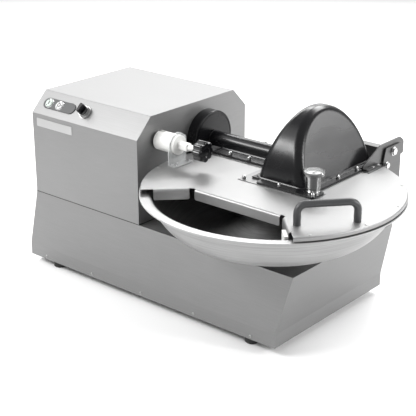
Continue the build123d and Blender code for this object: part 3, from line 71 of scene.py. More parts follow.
def buildStudio(room):
    camera = bpy.data.objects.new("camera", bpy.data.cameras.new("camera"))
    bpy.context.collection.objects.link(camera)
    camera.location = room["cameraAt"]
    camera.rotation_mode = "QUATERNION"
    camera.rotation_quaternion = Vector(room["cameraLooks"]).to_track_quat("-Z", "Y")
    camera.data.lens = room["lensMm"]
    camera.data.sensor_width = room["sensorMm"]
    camera.data.clip_start = room["clipStart"]
    bpy.context.scene.camera = camera

    bpy.ops.mesh.primitive_plane_add(size=room["floorSize"], location=(0, 0, 0))
    floor = bpy.context.object
    floor.name = "floor"
    paint = bpy.data.materials.new("floorPaint")
    paint.use_nodes = True
    shader = paint.node_tree.nodes["Principled BSDF"]
    shader.inputs["Base Color"].default_value = room["floorTone"]
    shader.inputs["Roughness"].default_value = room["floorRough"]
    floor.data.materials.append(paint)

    world = bpy.data.worlds.new("studioAir")
    world.use_nodes = True
    air = world.node_tree.nodes["Background"]
    air.inputs["Color"].default_value = room["worldTone"]
    air.inputs["Strength"].default_value = room["worldPower"]
    bpy.context.scene.world = world
    bpy.context.scene.view_settings.view_transform = "Standard"


def hangSoftbox(name, box):
    data = bpy.data.lights.new(name, "AREA")
    data.shape = "RECTANGLE"
    data.size, data.size_y = box["size"]
    data.energy = box["glow"] * math.pi * data.size * data.size_y
    lamp = bpy.data.objects.new(name, data)
    bpy.context.collection.objects.link(lamp)
    lamp.visible_camera = False
    lamp.location = box["at"]
    lamp.rotation_mode = "QUATERNION"
    lamp.rotation_quaternion = (Vector(box["faces"]) - Vector(box["at"])).to_track_quat("-Z", "Y")


buildStudio(studio)
for boxName, box in softboxes.items():
    hangSoftbox(boxName, box)
print("studio set")


# small steps that the shader groups and materials share
def feed(tree, value, socket):  # a plain value is set on the socket, an output is linked to it
    if isinstance(value, (int, float, tuple)):
        socket.default_value = value
    else:
        tree.links.new(value, socket)


def operationNode(tree, kind, operation, values):
    node = tree.nodes.new(kind)
    node.operation = operation
    for value, socket in zip(values, node.inputs):
        feed(tree, value, socket)
    return node


def mathNode(tree, operation, *values):
    return operationNode(tree, "ShaderNodeMath", operation, values).outputs[0]


def vectorNode(tree, operation, *values):
    node = operationNode(tree, "ShaderNodeVectorMath", operation, values)
    return node.outputs["Value" if operation == "LENGTH" else "Vector"]


def splitVector(tree, vector):
    node = tree.nodes.new("ShaderNodeSeparateXYZ")
    feed(tree, vector, node.inputs[0])
    return node.outputs


def noiseNode(tree, vector, scale, detail=3, roughness=0.5):
    node = tree.nodes.new("ShaderNodeTexNoise")
    for label, value in (("Vector", vector), ("Scale", scale), ("Detail", detail), ("Roughness", roughness)):
        feed(tree, value, node.inputs[label])
    return node.outputs["Fac"]


def spread(tree, value, low, high, toLow=0.0, toHigh=1.0):
    node = tree.nodes.new("ShaderNodeMapRange")
    labels = ("Value", "From Min", "From Max", "To Min", "To Max")
    for label, number in zip(labels, (value, low, high, toLow, toHigh)):
        feed(tree, number, node.inputs[label])
    return node.outputs[0]


def blendColours(tree, factor, first, second):
    node = tree.nodes.new("ShaderNodeMix")
    node.data_type = "RGBA"
    for value, i in ((factor, 0), (first, 6), (second, 7)):
        feed(tree, value, node.inputs[i])
    return node.outputs[2]


def startGroup(name, vectors, numbers, masks):
    tree = bpy.data.node_groups.new(name, "ShaderNodeTree")
    for label in vectors:
        tree.interface.new_socket(name=label, in_out="INPUT", socket_type="NodeSocketVector")
    for label, value in numbers.items():
        socket = tree.interface.new_socket(name=label, in_out="INPUT", socket_type="NodeSocketFloat")
        socket.default_value = value
    for label in masks:
        tree.interface.new_socket(name=label, in_out="OUTPUT", socket_type="NodeSocketFloat")
    return tree, tree.nodes.new("NodeGroupInput").outputs, tree.nodes.new("NodeGroupOutput").inputs


# sheet metal brushed along X, or along Y on walls that face sideways
sheetBrush = {"drawn": 0.012, "sidewaysPast": 0.7, "contrast": (0.3, 0.7), "fineness": 900.0, "patches": 5.0,
              "streakShare": 0.65, "scratchDeep": 0.0002}


def buildSheetGrain(brush):
    numbers = {"Fineness": brush["fineness"], "Patches": brush["patches"]}
    tree, given, result = startGroup("sheetGrain", ["Vector", "Normal"], numbers, ["Streaks", "Clouds"])
    towardsX = mathNode(tree, "ABSOLUTE", splitVector(tree, given["Normal"])[0])
    mix = tree.nodes.new("ShaderNodeMix")
    feed(tree, mathNode(tree, "GREATER_THAN", towardsX, brush["sidewaysPast"]), mix.inputs[0])
    for i, stretch in ((2, (brush["drawn"], 1, 1)), (3, (1, brush["drawn"], 1))):
        brushed = vectorNode(tree, "MULTIPLY", given["Vector"], stretch)
        feed(tree, noiseNode(tree, brushed, given["Fineness"]), mix.inputs[i])
    feed(tree, spread(tree, mix.outputs[0], *brush["contrast"]), result["Streaks"])
    clouds = noiseNode(tree, given["Vector"], given["Patches"])
    feed(tree, spread(tree, clouds, *brush["contrast"]), result["Clouds"])
    return tree


# rings left by spinning or turning about an upright axis
lathe = {"wander": 0.004, "patches": 6.0, "contrast": (0.3, 0.7), "fineness": 500.0, "ringShare": 0.7,
         "scratchDeep": 0.0002}


def buildTurnedRings(turning):
    numbers = {"Fineness": turning["fineness"]}
    tree, given, result = startGroup("turnedRings", ["Vector", "Centre"], numbers, ["Rings", "Clouds"])
    offset = vectorNode(tree, "SUBTRACT", given["Vector"], given["Centre"])
    x, y, z = splitVector(tree, offset)
    reach = vectorNode(tree, "LENGTH", vectorNode(tree, "MULTIPLY", offset, (1, 1, 0)))
    turn = mathNode(tree, "ABSOLUTE", mathNode(tree, "ARCTAN2", y, x))
    join = tree.nodes.new("ShaderNodeCombineXYZ")
    for value, socket in zip((reach, mathNode(tree, "MULTIPLY", turn, turning["wander"]), z), join.inputs):
        feed(tree, value, socket)
    rings = noiseNode(tree, join.outputs[0], given["Fineness"])
    feed(tree, spread(tree, rings, *turning["contrast"]), result["Rings"])
    clouds = noiseNode(tree, given["Vector"], turning["patches"])
    feed(tree, spread(tree, clouds, *turning["contrast"]), result["Clouds"])
    return tree


# pebbled skin of mouldings and paint, with faint wipe marks
wipedSkin = {"drawn": (1, 0.6, 2.2), "contrast": (0.42, 0.72), "wipes": 9.0, "wipeDetail": 5,
             "wipeBreak": 0.6, "wipeShare": 0.5, "pebble": 1400.0, "pebbleDetail": 2, "pebbleDeep": 0.0003}


def buildMouldSkin(skin):
    numbers = {"Pebble": skin["pebble"], "Wipes": skin["wipes"]}
    tree, given, result = startGroup("mouldSkin", ["Vector"], numbers, ["Pebbles", "Marks"])
    feed(tree, noiseNode(tree, given["Vector"], given["Pebble"], skin["pebbleDetail"]), result["Pebbles"])
    drawn = vectorNode(tree, "MULTIPLY", given["Vector"], skin["drawn"])
    marks = noiseNode(tree, drawn, given["Wipes"], skin["wipeDetail"], skin["wipeBreak"])
    feed(tree, spread(tree, marks, *skin["contrast"]), result["Marks"])
    return tree


sheetGrain = buildSheetGrain(sheetBrush)
turnedRings = buildTurnedRings(lathe)
mouldSkin = buildMouldSkin(wipedSkin)
print("shader groups made")


def startMaterial(name, **constants):
    material = bpy.data.materials.new(name)
    material.use_nodes = True
    shader = material.node_tree.nodes["Principled BSDF"]
    for label, value in constants.items():
        shader.inputs[label].default_value = value
    return material, material.node_tree, shader


def placeGroup(tree, group, **values):
    node = tree.nodes.new("ShaderNodeGroup")
    node.node_tree = group
    for label, value in values.items():
        node.inputs[label].default_value = value
    coordinates = tree.nodes.new("ShaderNodeTexCoord")
    feed(tree, coordinates.outputs["Object"], node.inputs["Vector"])
    if "Normal" in node.inputs:
        feed(tree, coordinates.outputs["Normal"], node.inputs["Normal"])
    return node.outputs


def addBump(tree, shader, height, strength, distance):
    bump = tree.nodes.new("ShaderNodeBump")
    for label, value in (("Strength", strength), ("Distance", distance), ("Height", height)):
        feed(tree, value, bump.inputs[label])
    feed(tree, bump.outputs["Normal"], shader.inputs["Normal"])


def grey(value):
    return (value, value, value, 1)


def addSteel(tree, shader, grain, mask, share, tones, rough, bump, deep):
    shade = mathNode(tree, "ADD", mathNode(tree, "MULTIPLY", grain[mask], share),
                     mathNode(tree, "MULTIPLY", grain["Clouds"], 1 - share))
    feed(tree, blendColours(tree, shade, grey(tones[0]), grey(tones[1])), shader.inputs["Base Color"])
    feed(tree, spread(tree, shade, 0, 1, *rough), shader.inputs["Roughness"])
    addBump(tree, shader, grain[mask], bump, deep)


def brushedSheet(name, tones, rough, patches=5, bump=0.12, metal=1.0, fineness=1500):
    material, tree, shader = startMaterial(name, Metallic=metal)
    grain = placeGroup(tree, sheetGrain, Fineness=fineness, Patches=patches)
    addSteel(tree, shader, grain, "Streaks", sheetBrush["streakShare"], tones, rough, bump,
             sheetBrush["scratchDeep"])
    return material


def turnedSteel(name, tones, rough, centre, fineness, bump, metal):
    material, tree, shader = startMaterial(name, Metallic=metal)
    grain = placeGroup(tree, turnedRings, Centre=centre, Fineness=fineness)
    addSteel(tree, shader, grain, "Rings", lathe["ringShare"], tones, rough, bump, lathe["scratchDeep"])
    return material


def addWipes(tree, shader, marks, share, tone, wiped, rough):
    blend = mathNode(tree, "MULTIPLY", marks, share) if share < 1 else marks
    feed(tree, blendColours(tree, blend, tone + (1,), wiped + (1,)), shader.inputs["Base Color"])
    feed(tree, spread(tree, marks, 0, 1, *rough), shader.inputs["Roughness"])


def moulded(name, tone, rough, pebble=1400, bump=0.1, lift=0.04, gloss=1.5):
    material, tree, shader = startMaterial(name, IOR=gloss)
    skin = placeGroup(tree, mouldSkin, Pebble=pebble)
    wiped = tuple(min(1, c + lift) for c in tone)
    addWipes(tree, shader, skin["Marks"], wipedSkin["wipeShare"], tone, wiped, rough)
    addBump(tree, shader, skin["Pebbles"], bump, wipedSkin["pebbleDeep"])
    return material


def clearSheet(name, tone, rough, cover, dulled=0.92, gloss=1.49):
    material, tree, shader = startMaterial(name, IOR=gloss, Alpha=cover)
    wiped = tuple(dulled * c for c in tone)
    addWipes(tree, shader, placeGroup(tree, mouldSkin)["Marks"], 1, tone, wiped, rough)
    return material


# finishes: tones are the darkest and the lightest place, rough the smoothest and the dullest
brushedFinishes = {
    "cabinetSteel": {"tones": (0.235, 0.275), "rough": (0.42, 0.48), "patches": 4, "bump": 0.04,
                     "metal": 0.82},
    "lidSteel": {"tones": (0.29, 0.34), "rough": (0.42, 0.48), "patches": 4, "bump": 0.04, "metal": 0.75},
    "plateSteel": {"tones": (0.17, 0.22), "rough": (0.30, 0.38), "patches": 4, "bump": 0.04},
    "bladeSteel": {"tones": (0.58, 0.72), "rough": (0.14, 0.26)},
    "turnedParts": {"tones": (0.46, 0.58), "rough": (0.22, 0.34)},
    "brightSteel": {"tones": (0.52, 0.62), "rough": (0.12, 0.20)},
    "gaugeSteel": {"tones": (0.34, 0.42), "rough": (0.07, 0.12), "patches": 4, "bump": 0.02},
    # the arms and hinge post get a darker copy of the sheet steel: painted shade for their sideways-facing
    # sides
    "shadedArmSteel": {"tones": (0.10, 0.15), "rough": (0.34, 0.42), "patches": 4, "bump": 0.05},
    "labelMetal": {"tones": (0.44, 0.50), "rough": (0.4, 0.5)},
    "dullSteel": {"tones": (0.40, 0.48), "rough": (0.34, 0.42)},
}
bowlFinish = {"tones": (0.30, 0.46), "rough": (0.36, 0.46), "fineness": 420.0, "bump": 0.05, "metal": 0.78}
mouldedFinishes = {
    "castIron": {"tone": (0.16, 0.165, 0.17), "rough": (0.5, 0.7), "pebble": 500, "bump": 0.5},
    "motorPaint": {"tone": (0.10, 0.13, 0.17), "rough": (0.35, 0.5)},
    "blackMoulding": {"tone": (0.004, 0.004, 0.005), "rough": (0.24, 0.32), "pebble": 1500, "bump": 0.04,
                      "lift": 0.004, "gloss": 1.42},
    "blackPaint": {"tone": (0.005, 0.005, 0.006), "rough": (0.24, 0.34), "pebble": 1200, "bump": 0.08,
                   "lift": 0.004, "gloss": 1.38},
    "darkGrip": {"tone": (0.055, 0.056, 0.058), "rough": (0.34, 0.5), "pebble": 1000, "bump": 0.15,
                 "lift": 0.02},
    "whiteBlock": {"tone": (0.84, 0.84, 0.82), "rough": (0.38, 0.52), "pebble": 900, "lift": 0.05},
    "greenKey": {"tone": (0.52, 0.58, 0.54), "rough": (0.28, 0.4), "pebble": 1200, "bump": 0.05,
                 "lift": 0.05},
    "whiteKey": {"tone": (0.58, 0.58, 0.58), "rough": (0.28, 0.4), "pebble": 1200, "bump": 0.05,
                 "lift": 0.05},
    "rubber": {"tone": (0.014, 0.014, 0.014), "rough": (0.6, 0.8), "pebble": 700, "bump": 0.4,
               "lift": 0.015},
    "glossKnob": {"tone": (0.006, 0.006, 0.007), "rough": (0.08, 0.14), "pebble": 1500, "bump": 0.02,
                  "lift": 0.004},
    "dialPaper": {"tone": (0.86, 0.86, 0.85), "rough": (0.5, 0.6), "pebble": 900, "bump": 0.05,
                  "lift": 0.03},
    "printInk": {"tone": (0.02, 0.02, 0.022), "rough": (0.4, 0.5)},
    "shadowGap": {"tone": (0.012, 0.012, 0.012), "rough": (0.7, 0.85), "pebble": 700, "bump": 0.2,
                  "lift": 0.004},
    "needlePaint": {"tone": (0.02, 0.02, 0.02), "rough": (0.3, 0.4)},
}
clearFinishes = {
    "clearBracket": {"tone": (0.90, 0.92, 0.92), "rough": (0.03, 0.08), "cover": 0.34},
    "gaugeGlass": {"tone": (0.96, 0.97, 0.97), "rough": (0.02, 0.05), "cover": 0.16},
}
finish = {name: brushedSheet(name, **values) for name, values in brushedFinishes.items()}
finish.update({name: moulded(name, **values) for name, values in mouldedFinishes.items()})
finish.update({name: clearSheet(name, **values) for name, values in clearFinishes.items()})
bowlLow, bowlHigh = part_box("bowl")
bowlCentre = ((bowlLow[0] + bowlHigh[0]) / 2, (bowlLow[1] + bowlHigh[1]) / 2, 0)
finish["bowlSteel"] = turnedSteel("bowlSteel", centre=bowlCentre, **bowlFinish)

wears = {
    "cabinetSteel": ["cabinet_shell", "base_shell", "base_floor", "motor_mount"],
    "lidSteel": ["lid"],
    "plateSteel": ["cover_plate"],
    # the arms and hinge post wear the darker steel that paints the shade on their sides
    "shadedArmSteel": ["arm_left", "arm_right", "hinge_post"],
    "gaugeSteel": ["thermometer_case"],
    "bowlSteel": ["bowl"],
    "bladeSteel": ["knife_left", "knife_middle", "knife_right", "knife_head", "knife_spacers",
                   "knife_nut"],
    "turnedParts": ["knife_shaft", "bowl_spindle", "bowl_nut", "knife_bearings", "bowl_bearings",
                    "motor_shaft", "bowl_gear", "bowl_pinion"],
    "brightSteel": ["cover_nuts", "lid_rivets", "arm_rivets", "band_screws", "catch_screws",
                    "hinge_pins", "selector_base"],
    "castIron": ["bearing_housing", "bowl_bearing_housing", "knife_pulley", "motor_pulley"],
    "motorPaint": ["knife_motor", "bowl_gearmotor"],
    "blackMoulding": ["dome_cover", "star_knob", "selector_knob"],
    "blackPaint": ["shaft_flange"],
    "darkGrip": ["control_panel", "lid_handle", "switch_block", "control_box", "cable_gland"],
    "whiteBlock": ["catch_body", "bowl_scraper"],
    "greenKey": ["start_button"],
    "whiteKey": ["stop_button"],
    "rubber": ["feet", "shaft_seal", "drive_belt"],
    "labelMetal": ["badge_plate"],
    "clearBracket": ["catch_bracket"],
    "gaugeGlass": ["thermometer_glass"],
    "needlePaint": ["thermometer_needle"],
}
for label, names in wears.items():
    for name in names:
        materials = nodes[name].data.materials
        if not materials:
            materials.append(finish[label])
        for i in range(len(materials)):
            materials[i] = finish[label]
print("finishes placed:", len(finish))


# helpers that read the frame
def nodeBox(name):
    low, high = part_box(name)
    return Vector(low), Vector(high)


def solidBoxes(name):  # lowest and highest corner of each separate solid in a node
    mesh = bmesh.new()
    mesh.from_mesh(nodes[name].data)
    bmesh.ops.remove_doubles(mesh, verts=mesh.verts, dist=1e-6)
    waiting = set(mesh.verts)
    boxes = []
    while waiting:
        group = [waiting.pop()]
        for vert in group:
            for edge in vert.link_edges:
                other = edge.other_vert(vert)
                if other in waiting:
                    waiting.remove(other)
                    group.append(other)
        boxes.append(cornersOf([vert.co.copy() for vert in group]))
    mesh.free()
    return sorted(boxes, key=lambda box: tuple(round(c, 4) for c in box[0]))


def cornersOf(points):
    return tuple(Vector([pick(point[i] for point in points) for i in range(3)]) for pick in (min, max))


def facing(axis, at):  # a frame whose local Z runs along the axis
    return Matrix.Translation(at) @ Vector(axis).to_track_quat("Z", "Y").to_matrix().to_4x4()


shoulderAxis = Vector((0, -1, 1)).normalized()  # square to the cabinet's sloping front shoulder


def shoulderFace(node, slack=1e-4):  # the middle of a node's outermost face on that shoulder
    points = [vertex.co for vertex in nodes[node].data.vertices]
    reach = max(point.dot(shoulderAxis) for point in points)
    low, high = cornersOf([point for point in points if reach - point.dot(shoulderAxis) < slack])
    return (low + high) / 2


# helpers that make meshes
def polygonPoints(count, radius, turn=0.0):
    angles = [turn + 2 * math.pi * i / count for i in range(count)]
    return [(radius * math.cos(angle), radius * math.sin(angle)) for angle in angles]


def addLoop(mesh, place, outline, height):
    return [mesh.verts.new(place @ Vector((x, y, height))) for x, y in outline]


def skinLoops(mesh, loops, slot=0):  # walls from each loop to the next; a loop of one point is a tip
    for lower, upper in zip(loops, loops[1:]):
        count = max(len(lower), len(upper))
        for i in range(count):
            j = (i + 1) % count
            if len(lower) == 1:
                corners = (lower[0], upper[j], upper[i])
            elif len(upper) == 1:
                corners = (lower[i], lower[j], upper[0])
            else:
                corners = (lower[i], lower[j], upper[j], upper[i])
            mesh.faces.new(corners).material_index = slot


def capEnds(mesh, loops, slot=0):
    mesh.faces.new(list(reversed(loops[0]))).material_index = slot
    mesh.faces.new(loops[-1]).material_index = slot


def turnedForm(mesh, profile, place, facets):  # profile of (radius, height) spun about local Z
    loops = [
        addLoop(mesh, place, polygonPoints(facets, radius) if radius else [(0, 0)], height)
        for radius, height in profile
    ]
    skinLoops(mesh, loops)


def prismForm(mesh, outline, place, low, high, bevel, slot=0):  # outline of (x, y), both ends eased
    centre = Vector((sum(x for x, y in outline), sum(y for x, y in outline))) / len(outline)
    arms = [Vector(point) - centre for point in outline]
    loops = []
    for height, inset in ((low, bevel), (low + bevel, 0.0), (high - bevel, 0.0), (high, bevel)):
        eased = [centre + arm * max(0.0, 1 - inset / arm.length) for arm in arms]
        loops.append(addLoop(mesh, place, eased, height))
    skinLoops(mesh, loops, slot)
    capEnds(mesh, loops, slot)


def barOutline(left, right, half):
    return [(left, -half), (right, -half), (right, half), (left, half)]


def quarterRound(radius, low, high, steps):  # from just above a wall to just below the crown
    turns = [math.pi / 2 * i / steps for i in range(1, steps)]
    return [(radius * math.cos(turn), low + (high - low) * math.sin(turn)) for turn in turns]


def finishPiece(name, mesh, body, wearing, standsFor=None, sharp=38.0):
    bmesh.ops.recalc_face_normals(mesh, faces=mesh.faces)
    data = bpy.data.meshes.new(name)
    mesh.to_mesh(data)
    mesh.free()
    data.shade_smooth()
    data.set_sharp_from_angle(angle=math.radians(sharp))
    for label in wearing:
        data.materials.append(finish[label])
    piece = bpy.data.objects.new(name, data)
    bpy.context.collection.objects.link(piece)
    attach(piece, body)
    if standsFor:
        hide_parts(standsFor)


# acorn nuts on the knife cover's flange: a thin washer, a hexagon and a dome
acornNut = {"facets": 32, "domeFacets": 24, "washerThick": 0.0009, "hexTurn": 0.3, "hexSpan": 0.97,
            "hexHigh": 0.42, "bevel": 0.0004, "domeSpan": 0.86, "domeWall": 0.28, "domeSteps": 6}


def buildAcornNuts(nut):
    mesh = bmesh.new()
    for low, high in solidBoxes("cover_nuts"):
        place = Matrix.Translation(((low.x + high.x) / 2, (low.y + high.y) / 2, low.z))
        height = high.z - low.z
        span = min(high.x - low.x, high.y - low.y) / 2
        washer, hexTop = nut["washerThick"], height * nut["hexHigh"]
        turnedForm(mesh, [(0, 0), (span, 0), (span, washer), (0, washer)], place, nut["facets"])
        hexagon = polygonPoints(6, span * nut["hexSpan"], nut["hexTurn"])
        prismForm(mesh, hexagon, place, washer, hexTop, nut["bevel"])
        domeR = span * nut["domeSpan"]
        wallTop = hexTop + nut["domeWall"] * (height - hexTop)
        wall = [(domeR, hexTop - nut["bevel"]), (domeR, wallTop)]
        dome = quarterRound(domeR, wallTop, height, nut["domeSteps"])
        turnedForm(mesh, wall + dome + [(0, height)], place, nut["domeFacets"])
    finishPiece("acornNuts", mesh, "lid", ["brightSteel"], "cover_nuts")


# rivets of the lid and arms: a low dome on a shallow collar
rivet = {"facets": 20, "collar": 0.22, "domeSteps": 5}


def buildRivets(name, node, head):
    mesh = bmesh.new()
    for low, high in solidBoxes(node):
        radius, height = (high.x - low.x) / 2, high.z - low.z
        place = Matrix.Translation(((low.x + high.x) / 2, (low.y + high.y) / 2, low.z))
        collar = height * head["collar"]
        dome = quarterRound(radius, collar, height, head["domeSteps"])
        profile = [(0, 0), (radius, 0), (radius, collar)] + dome + [(0, height)]
        turnedForm(mesh, profile, place, head["facets"])
    finishPiece(name, mesh, "lid", ["dullSteel"], node)


# pan heads along the base's band, with a cross of painted shadow in a shallow dish standing for the recess:
# shares of a head's radius and height
panHead = {"facets": 24, "rimHigh": 0.45, "crownSteps": 4, "crownIn": 0.5, "dishSpan": 0.44, "dishEdge": 0.7,
           "dishFloor": 0.55, "crossReach": 0.42, "crossHalf": 0.14, "crossHigh": (0.56, 0.66),
           "crossBevel": 0.02}


def buildBandScrews(head):
    mesh = bmesh.new()
    baseLow, baseHigh = nodeBox("base_shell")
    rim, steps = head["rimHigh"], head["crownSteps"]
    for low, high in solidBoxes("band_screws"):
        radius, height = (high.z - low.z) / 2, high.y - low.y
        behind = low.y + high.y > baseLow.y + baseHigh.y
        seat = Vector(((low.x + high.x) / 2, low.y if behind else high.y, (low.z + high.z) / 2))
        place = facing((0, 1 if behind else -1, 0), seat)
        profile = [(0, 0), (radius, 0), (radius, height * rim)]
        for i in range(1, steps + 1):
            rise = rim + (1 - rim) * math.sin(math.pi / 2 * i / steps)
            profile.append((radius * (1 - head["crownIn"] * i / steps), height * rise))
        profile += [(radius * head["dishSpan"], height * head["dishEdge"]), (0, height * head["dishFloor"])]
        turnedForm(mesh, profile, place, head["facets"])
        # the recess is drawn as a dark raised cross: painted shadow
        reach = radius * head["crossReach"]
        bar = barOutline(-reach, reach, radius * head["crossHalf"])
        crossLow, crossTop = (height * share for share in head["crossHigh"])
        for turn in (math.pi / 4, 3 * math.pi / 4):
            prismForm(mesh, bar, place @ Matrix.Rotation(turn, 4, "Z"), crossLow, crossTop,
                      height * head["crossBevel"], 1)
    finishPiece("bandScrews", mesh, "frame", ["dullSteel", "shadowGap"], "band_screws")


# lobed knob of the lid catch, with a dished cap and the stem that reaches into the catch
lobedKnob = {"lobes": 8, "lobeSteps": 12, "dip": 0.16, "fullness": 0.7, "width": 0.026, "edgeRound": 0.0042,
             "roundSteps": 5, "cap": 0.42, "capRim": 1.15, "capSink": 0.0022, "capMiddle": (0.55, 0.7),
             "stemR": 0.006, "stemTip": 0.9, "stemEase": 0.0006, "neckAt": 0.7, "neckSpan": 1.5,
             "stemFacets": 24}


def buildLobedKnob(knob):
    low, high = nodeBox("star_knob")
    radius = (high.z - low.z) / 2
    headLeft = high.x - knob["width"]
    at = Vector((headLeft, (low.y + high.y) / 2, (low.z + high.z) / 2))
    place = Matrix.Translation(at) @ Matrix.Rotation(math.pi / 2, 4, "Y")
    count = knob["lobes"] * knob["lobeSteps"]

    def lobeOutline(inset):
        points = []
        for i, (x, y) in enumerate(polygonPoints(count, 1.0)):
            wave = 0.5 + 0.5 * math.cos(2 * math.pi * i / knob["lobeSteps"])
            reach = radius * (1 - knob["dip"] * (1 - wave ** knob["fullness"])) - inset
            points.append((reach * x, reach * y))
        return points

    eased = []
    for step in range(knob["roundSteps"], -1, -1):
        turn = math.pi / 2 * step / knob["roundSteps"]
        eased.append((knob["edgeRound"] * (1 - math.sin(turn)), knob["edgeRound"] * (1 - math.cos(turn))))
    levels = eased + [(knob["width"] - height, inset) for height, inset in reversed(eased)]
    mesh = bmesh.new()
    loops = [addLoop(mesh, place, lobeOutline(inset), height) for height, inset in levels]
    capR, floorAt = radius * knob["cap"], knob["width"] - knob["capSink"]
    middleSpan, middleSink = knob["capMiddle"]
    cap = [(capR * knob["capRim"], knob["width"]), (capR, floorAt),
           (capR * middleSpan, knob["width"] - knob["capSink"] * middleSink)]
    loops += [addLoop(mesh, place, polygonPoints(count, reach), height) for reach, height in cap]
    skinLoops(mesh, loops)
    capEnds(mesh, loops)
    stem, length = knob["stemR"], headLeft - low.x
    profile = [(0, 0), (stem * knob["stemTip"], 0), (stem, knob["stemEase"]),
               (stem, length * knob["neckAt"]), (stem * knob["neckSpan"], length)]
    turnedForm(mesh, profile, place @ Matrix.Translation((0, 0, -length)), knob["stemFacets"])
    finishPiece("lobedKnob", mesh, "star_knob", ["glossKnob"], "star_knob", 50)


# dial of the thermometer, a paper disc round the needle's hub with printed ticks
dial = {"facets": 64, "margin": 0.86, "thick": 0.0005, "hubGap": 0.0008, "ticks": 30, "sweep": 270,
        "tickIn": 0.80, "tickOut": 0.94, "tickHalf": 0.00028, "tickBevel": 0.000056, "lift": 0.0003,
        "everyLong": 5, "longIn": 0.70, "longHalf": 0.000504}


def buildDial(paper):
    glassLow, glassHigh = nodeBox("thermometer_glass")
    needleLow, needleHigh = nodeBox("thermometer_needle")
    thick = paper["thick"]
    radius = (glassHigh.x - glassLow.x) / 2 * paper["margin"]
    hubR = (needleHigh.x - needleLow.x) / 2 + paper["hubGap"]
    at = ((glassLow.x + glassHigh.x) / 2, (glassLow.y + glassHigh.y) / 2, needleLow.z + thick)
    place = Matrix.Translation(at)
    mesh = bmesh.new()
    ring = [(hubR, -thick), (radius, -thick), (radius, 0), (hubR, 0), (hubR, -thick)]
    turnedForm(mesh, ring, place, paper["facets"])
    for i in range(paper["ticks"] + 1):
        turn = math.radians(90 + paper["sweep"] * (i / paper["ticks"] - 0.5))
        half, inner = paper["tickHalf"], paper["tickIn"]
        if i % paper["everyLong"] == 0:
            half, inner = paper["longHalf"], paper["longIn"]
        tick = barOutline(radius * inner, radius * paper["tickOut"], half)
        prismForm(mesh, tick, place @ Matrix.Rotation(turn, 4, "Z"), 0, paper["lift"], paper["tickBevel"], 1)
    finishPiece("gaugeDial", mesh, "lid", ["dialPaper", "printInk"])


# signs on the keys: a bar on one, a ring on the other, and three dots round each
keySign = {"barHalf": 0.0014, "barReach": 0.0048, "barBevel": 0.3, "ring": 0.0052, "ringWide": 0.00196,
           "ringFacets": 48, "lift": 0.00025, "dots": 3, "dotsAt": 0.0082, "dotR": 0.0015, "dotFacets": 12}


def buildKeySign(name, node, ringed, sign):
    place = facing(shoulderAxis, shoulderFace(node))
    mesh = bmesh.new()
    lift = sign["lift"]
    if ringed:
        outer, inner = sign["ring"], sign["ring"] - sign["ringWide"]
        ring = [(outer, 0), (outer, lift), (inner, lift), (inner, 0), (outer, 0)]
        turnedForm(mesh, ring, place, sign["ringFacets"])
    else:
        bar = barOutline(-sign["barHalf"], sign["barHalf"], sign["barReach"])
        prismForm(mesh, bar, place, 0, lift, lift * sign["barBevel"])
    dot = [(0, 0), (sign["dotR"], 0), (sign["dotR"], lift), (0, lift)]
    for x, y in polygonPoints(sign["dots"], sign["dotsAt"]):
        turnedForm(mesh, dot, place @ Matrix.Translation((x, y, 0)), sign["dotFacets"])
    finishPiece(name, mesh, node, ["printInk"])


# selector: a round base with a low rounded grip across it
selectorGrip = {"discSpan": 0.36, "discHigh": 0.4, "discFacets": 48, "gripHalf": 0.0042, "gripReach": 0.0125,
                "endSteps": 10, "ease": 0.0014, "easeMiddle": 0.3}


def buildSelector(grip):
    reaches = [vertex.co.dot(shoulderAxis) for vertex in nodes["selector_knob"].data.vertices]
    height = max(reaches) - min(reaches)
    collarLow, collarHigh = nodeBox("selector_base")
    centre = (collarLow + collarHigh) / 2
    centre += shoulderAxis * (min(reaches) - centre.dot(shoulderAxis))
    place = facing(shoulderAxis, centre)
    ease, corner = grip["ease"], grip["ease"] * grip["easeMiddle"]
    discR = (collarHigh.x - collarLow.x) * grip["discSpan"]
    discTop = height * grip["discHigh"]
    mesh = bmesh.new()
    disc = [(0, 0), (discR, 0), (discR, discTop - ease), (discR - corner, discTop - corner),
            (discR - ease, discTop), (0, discTop)]
    turnedForm(mesh, disc, place, grip["discFacets"])
    half, reach = grip["gripHalf"], grip["gripReach"]
    outline = []
    for side, start in ((1, -math.pi / 2), (-1, math.pi / 2)):
        for i in range(grip["endSteps"] + 1):
            turn = start + math.pi * i / grip["endSteps"]
            outline.append((side * (reach - half) + half * math.cos(turn), half * math.sin(turn)))
    prismForm(mesh, outline, place @ Matrix.Rotation(math.pi / 2, 4, "Z"), discTop - ease, height, ease)
    finishPiece("selectorGrip", mesh, "selector", ["blackMoulding"], "selector_knob")


# bright rings let into the panel round the keys
keyBezel = {"facets": 48, "gap": 0.0004, "wide": 0.0017, "high": 0.0009, "wallHigh": 0.6, "ease": 0.3}


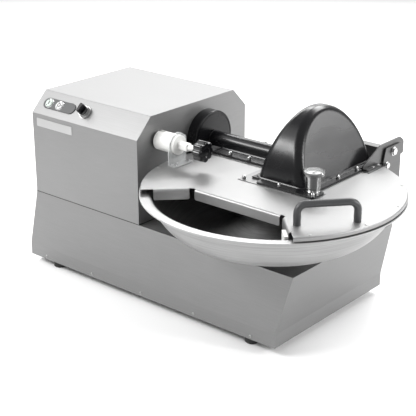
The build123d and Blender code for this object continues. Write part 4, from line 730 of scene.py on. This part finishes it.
def buildKeyBezels(bezel):
    mesh = bmesh.new()
    panel = shoulderFace("control_panel")
    for node in ("start_button", "stop_button"):
        at = shoulderFace(node)
        at -= shoulderAxis * (at - panel).dot(shoulderAxis)
        low, high = nodeBox(node)
        inner = (high.x - low.x) / 2 + bezel["gap"]
        outer, ease = inner + bezel["wide"], bezel["wide"] * bezel["ease"]
        profile = [(inner, 0), (inner, bezel["high"] * bezel["wallHigh"]), (inner + ease, bezel["high"]),
                   (outer - ease, bezel["high"]), (outer, 0)]
        turnedForm(mesh, profile, facing(shoulderAxis, at), bezel["facets"])
    finishPiece("keyBezels", mesh, "frame", ["brightSteel"])


# the joint between cabinet and base, a narrow band of painted shadow all round standing for the groove
seam = {"high": 0.0016, "proud": 0.0003, "sink": 0.001}


def buildSeam(gap):
    low, high = nodeBox("cabinet_shell")
    mesh = bmesh.new()

    def boxLoop(reach, height):
        left, front, right, back = low.x - reach, low.y - reach, high.x + reach, high.y + reach
        outline = [(left, front), (right, front), (right, back), (left, back)]
        return addLoop(mesh, Matrix(), outline, low.z + height)

    outerLow, outerHigh = boxLoop(gap["proud"], 0), boxLoop(gap["proud"], gap["high"])
    innerHigh, innerLow = boxLoop(-gap["sink"], gap["high"]), boxLoop(-gap["sink"], 0)
    skinLoops(mesh, [outerLow, outerHigh, innerHigh, innerLow, outerLow])
    finishPiece("cabinetSeam", mesh, "frame", ["shadowGap"])


# rounded arrises on the folded steel, with a width for each node
foldedEdges = {"segments": 2, "pastDegrees": 28, "widths": {
    "cabinet_shell": 0.0014, "base_shell": 0.0012, "arm_left": 0.0006, "arm_right": 0.0006,
    "hinge_post": 0.0006, "cover_plate": 0.0004}}


def roundArrises(arris):
    for name, width in arris["widths"].items():
        modifier = nodes[name].modifiers.new("arris", "BEVEL")
        modifier.width = width
        modifier.segments = arris["segments"]
        modifier.limit_method = "ANGLE"
        modifier.angle_limit = math.radians(arris["pastDegrees"])


buildAcornNuts(acornNut)
buildRivets("lidRivetHeads", "lid_rivets", rivet)
buildRivets("armRivetHeads", "arm_rivets", rivet)
buildBandScrews(panHead)
print("fasteners built")
buildLobedKnob(lobedKnob)
buildDial(dial)
buildKeySign("startSign", "start_button", False, keySign)
buildKeySign("stopSign", "stop_button", True, keySign)
buildSelector(selectorGrip)
buildKeyBezels(keyBezel)
print("knob, dial, signs and selector built")
buildSeam(seam)
roundArrises(foldedEdges)
print("seam and arrises done")
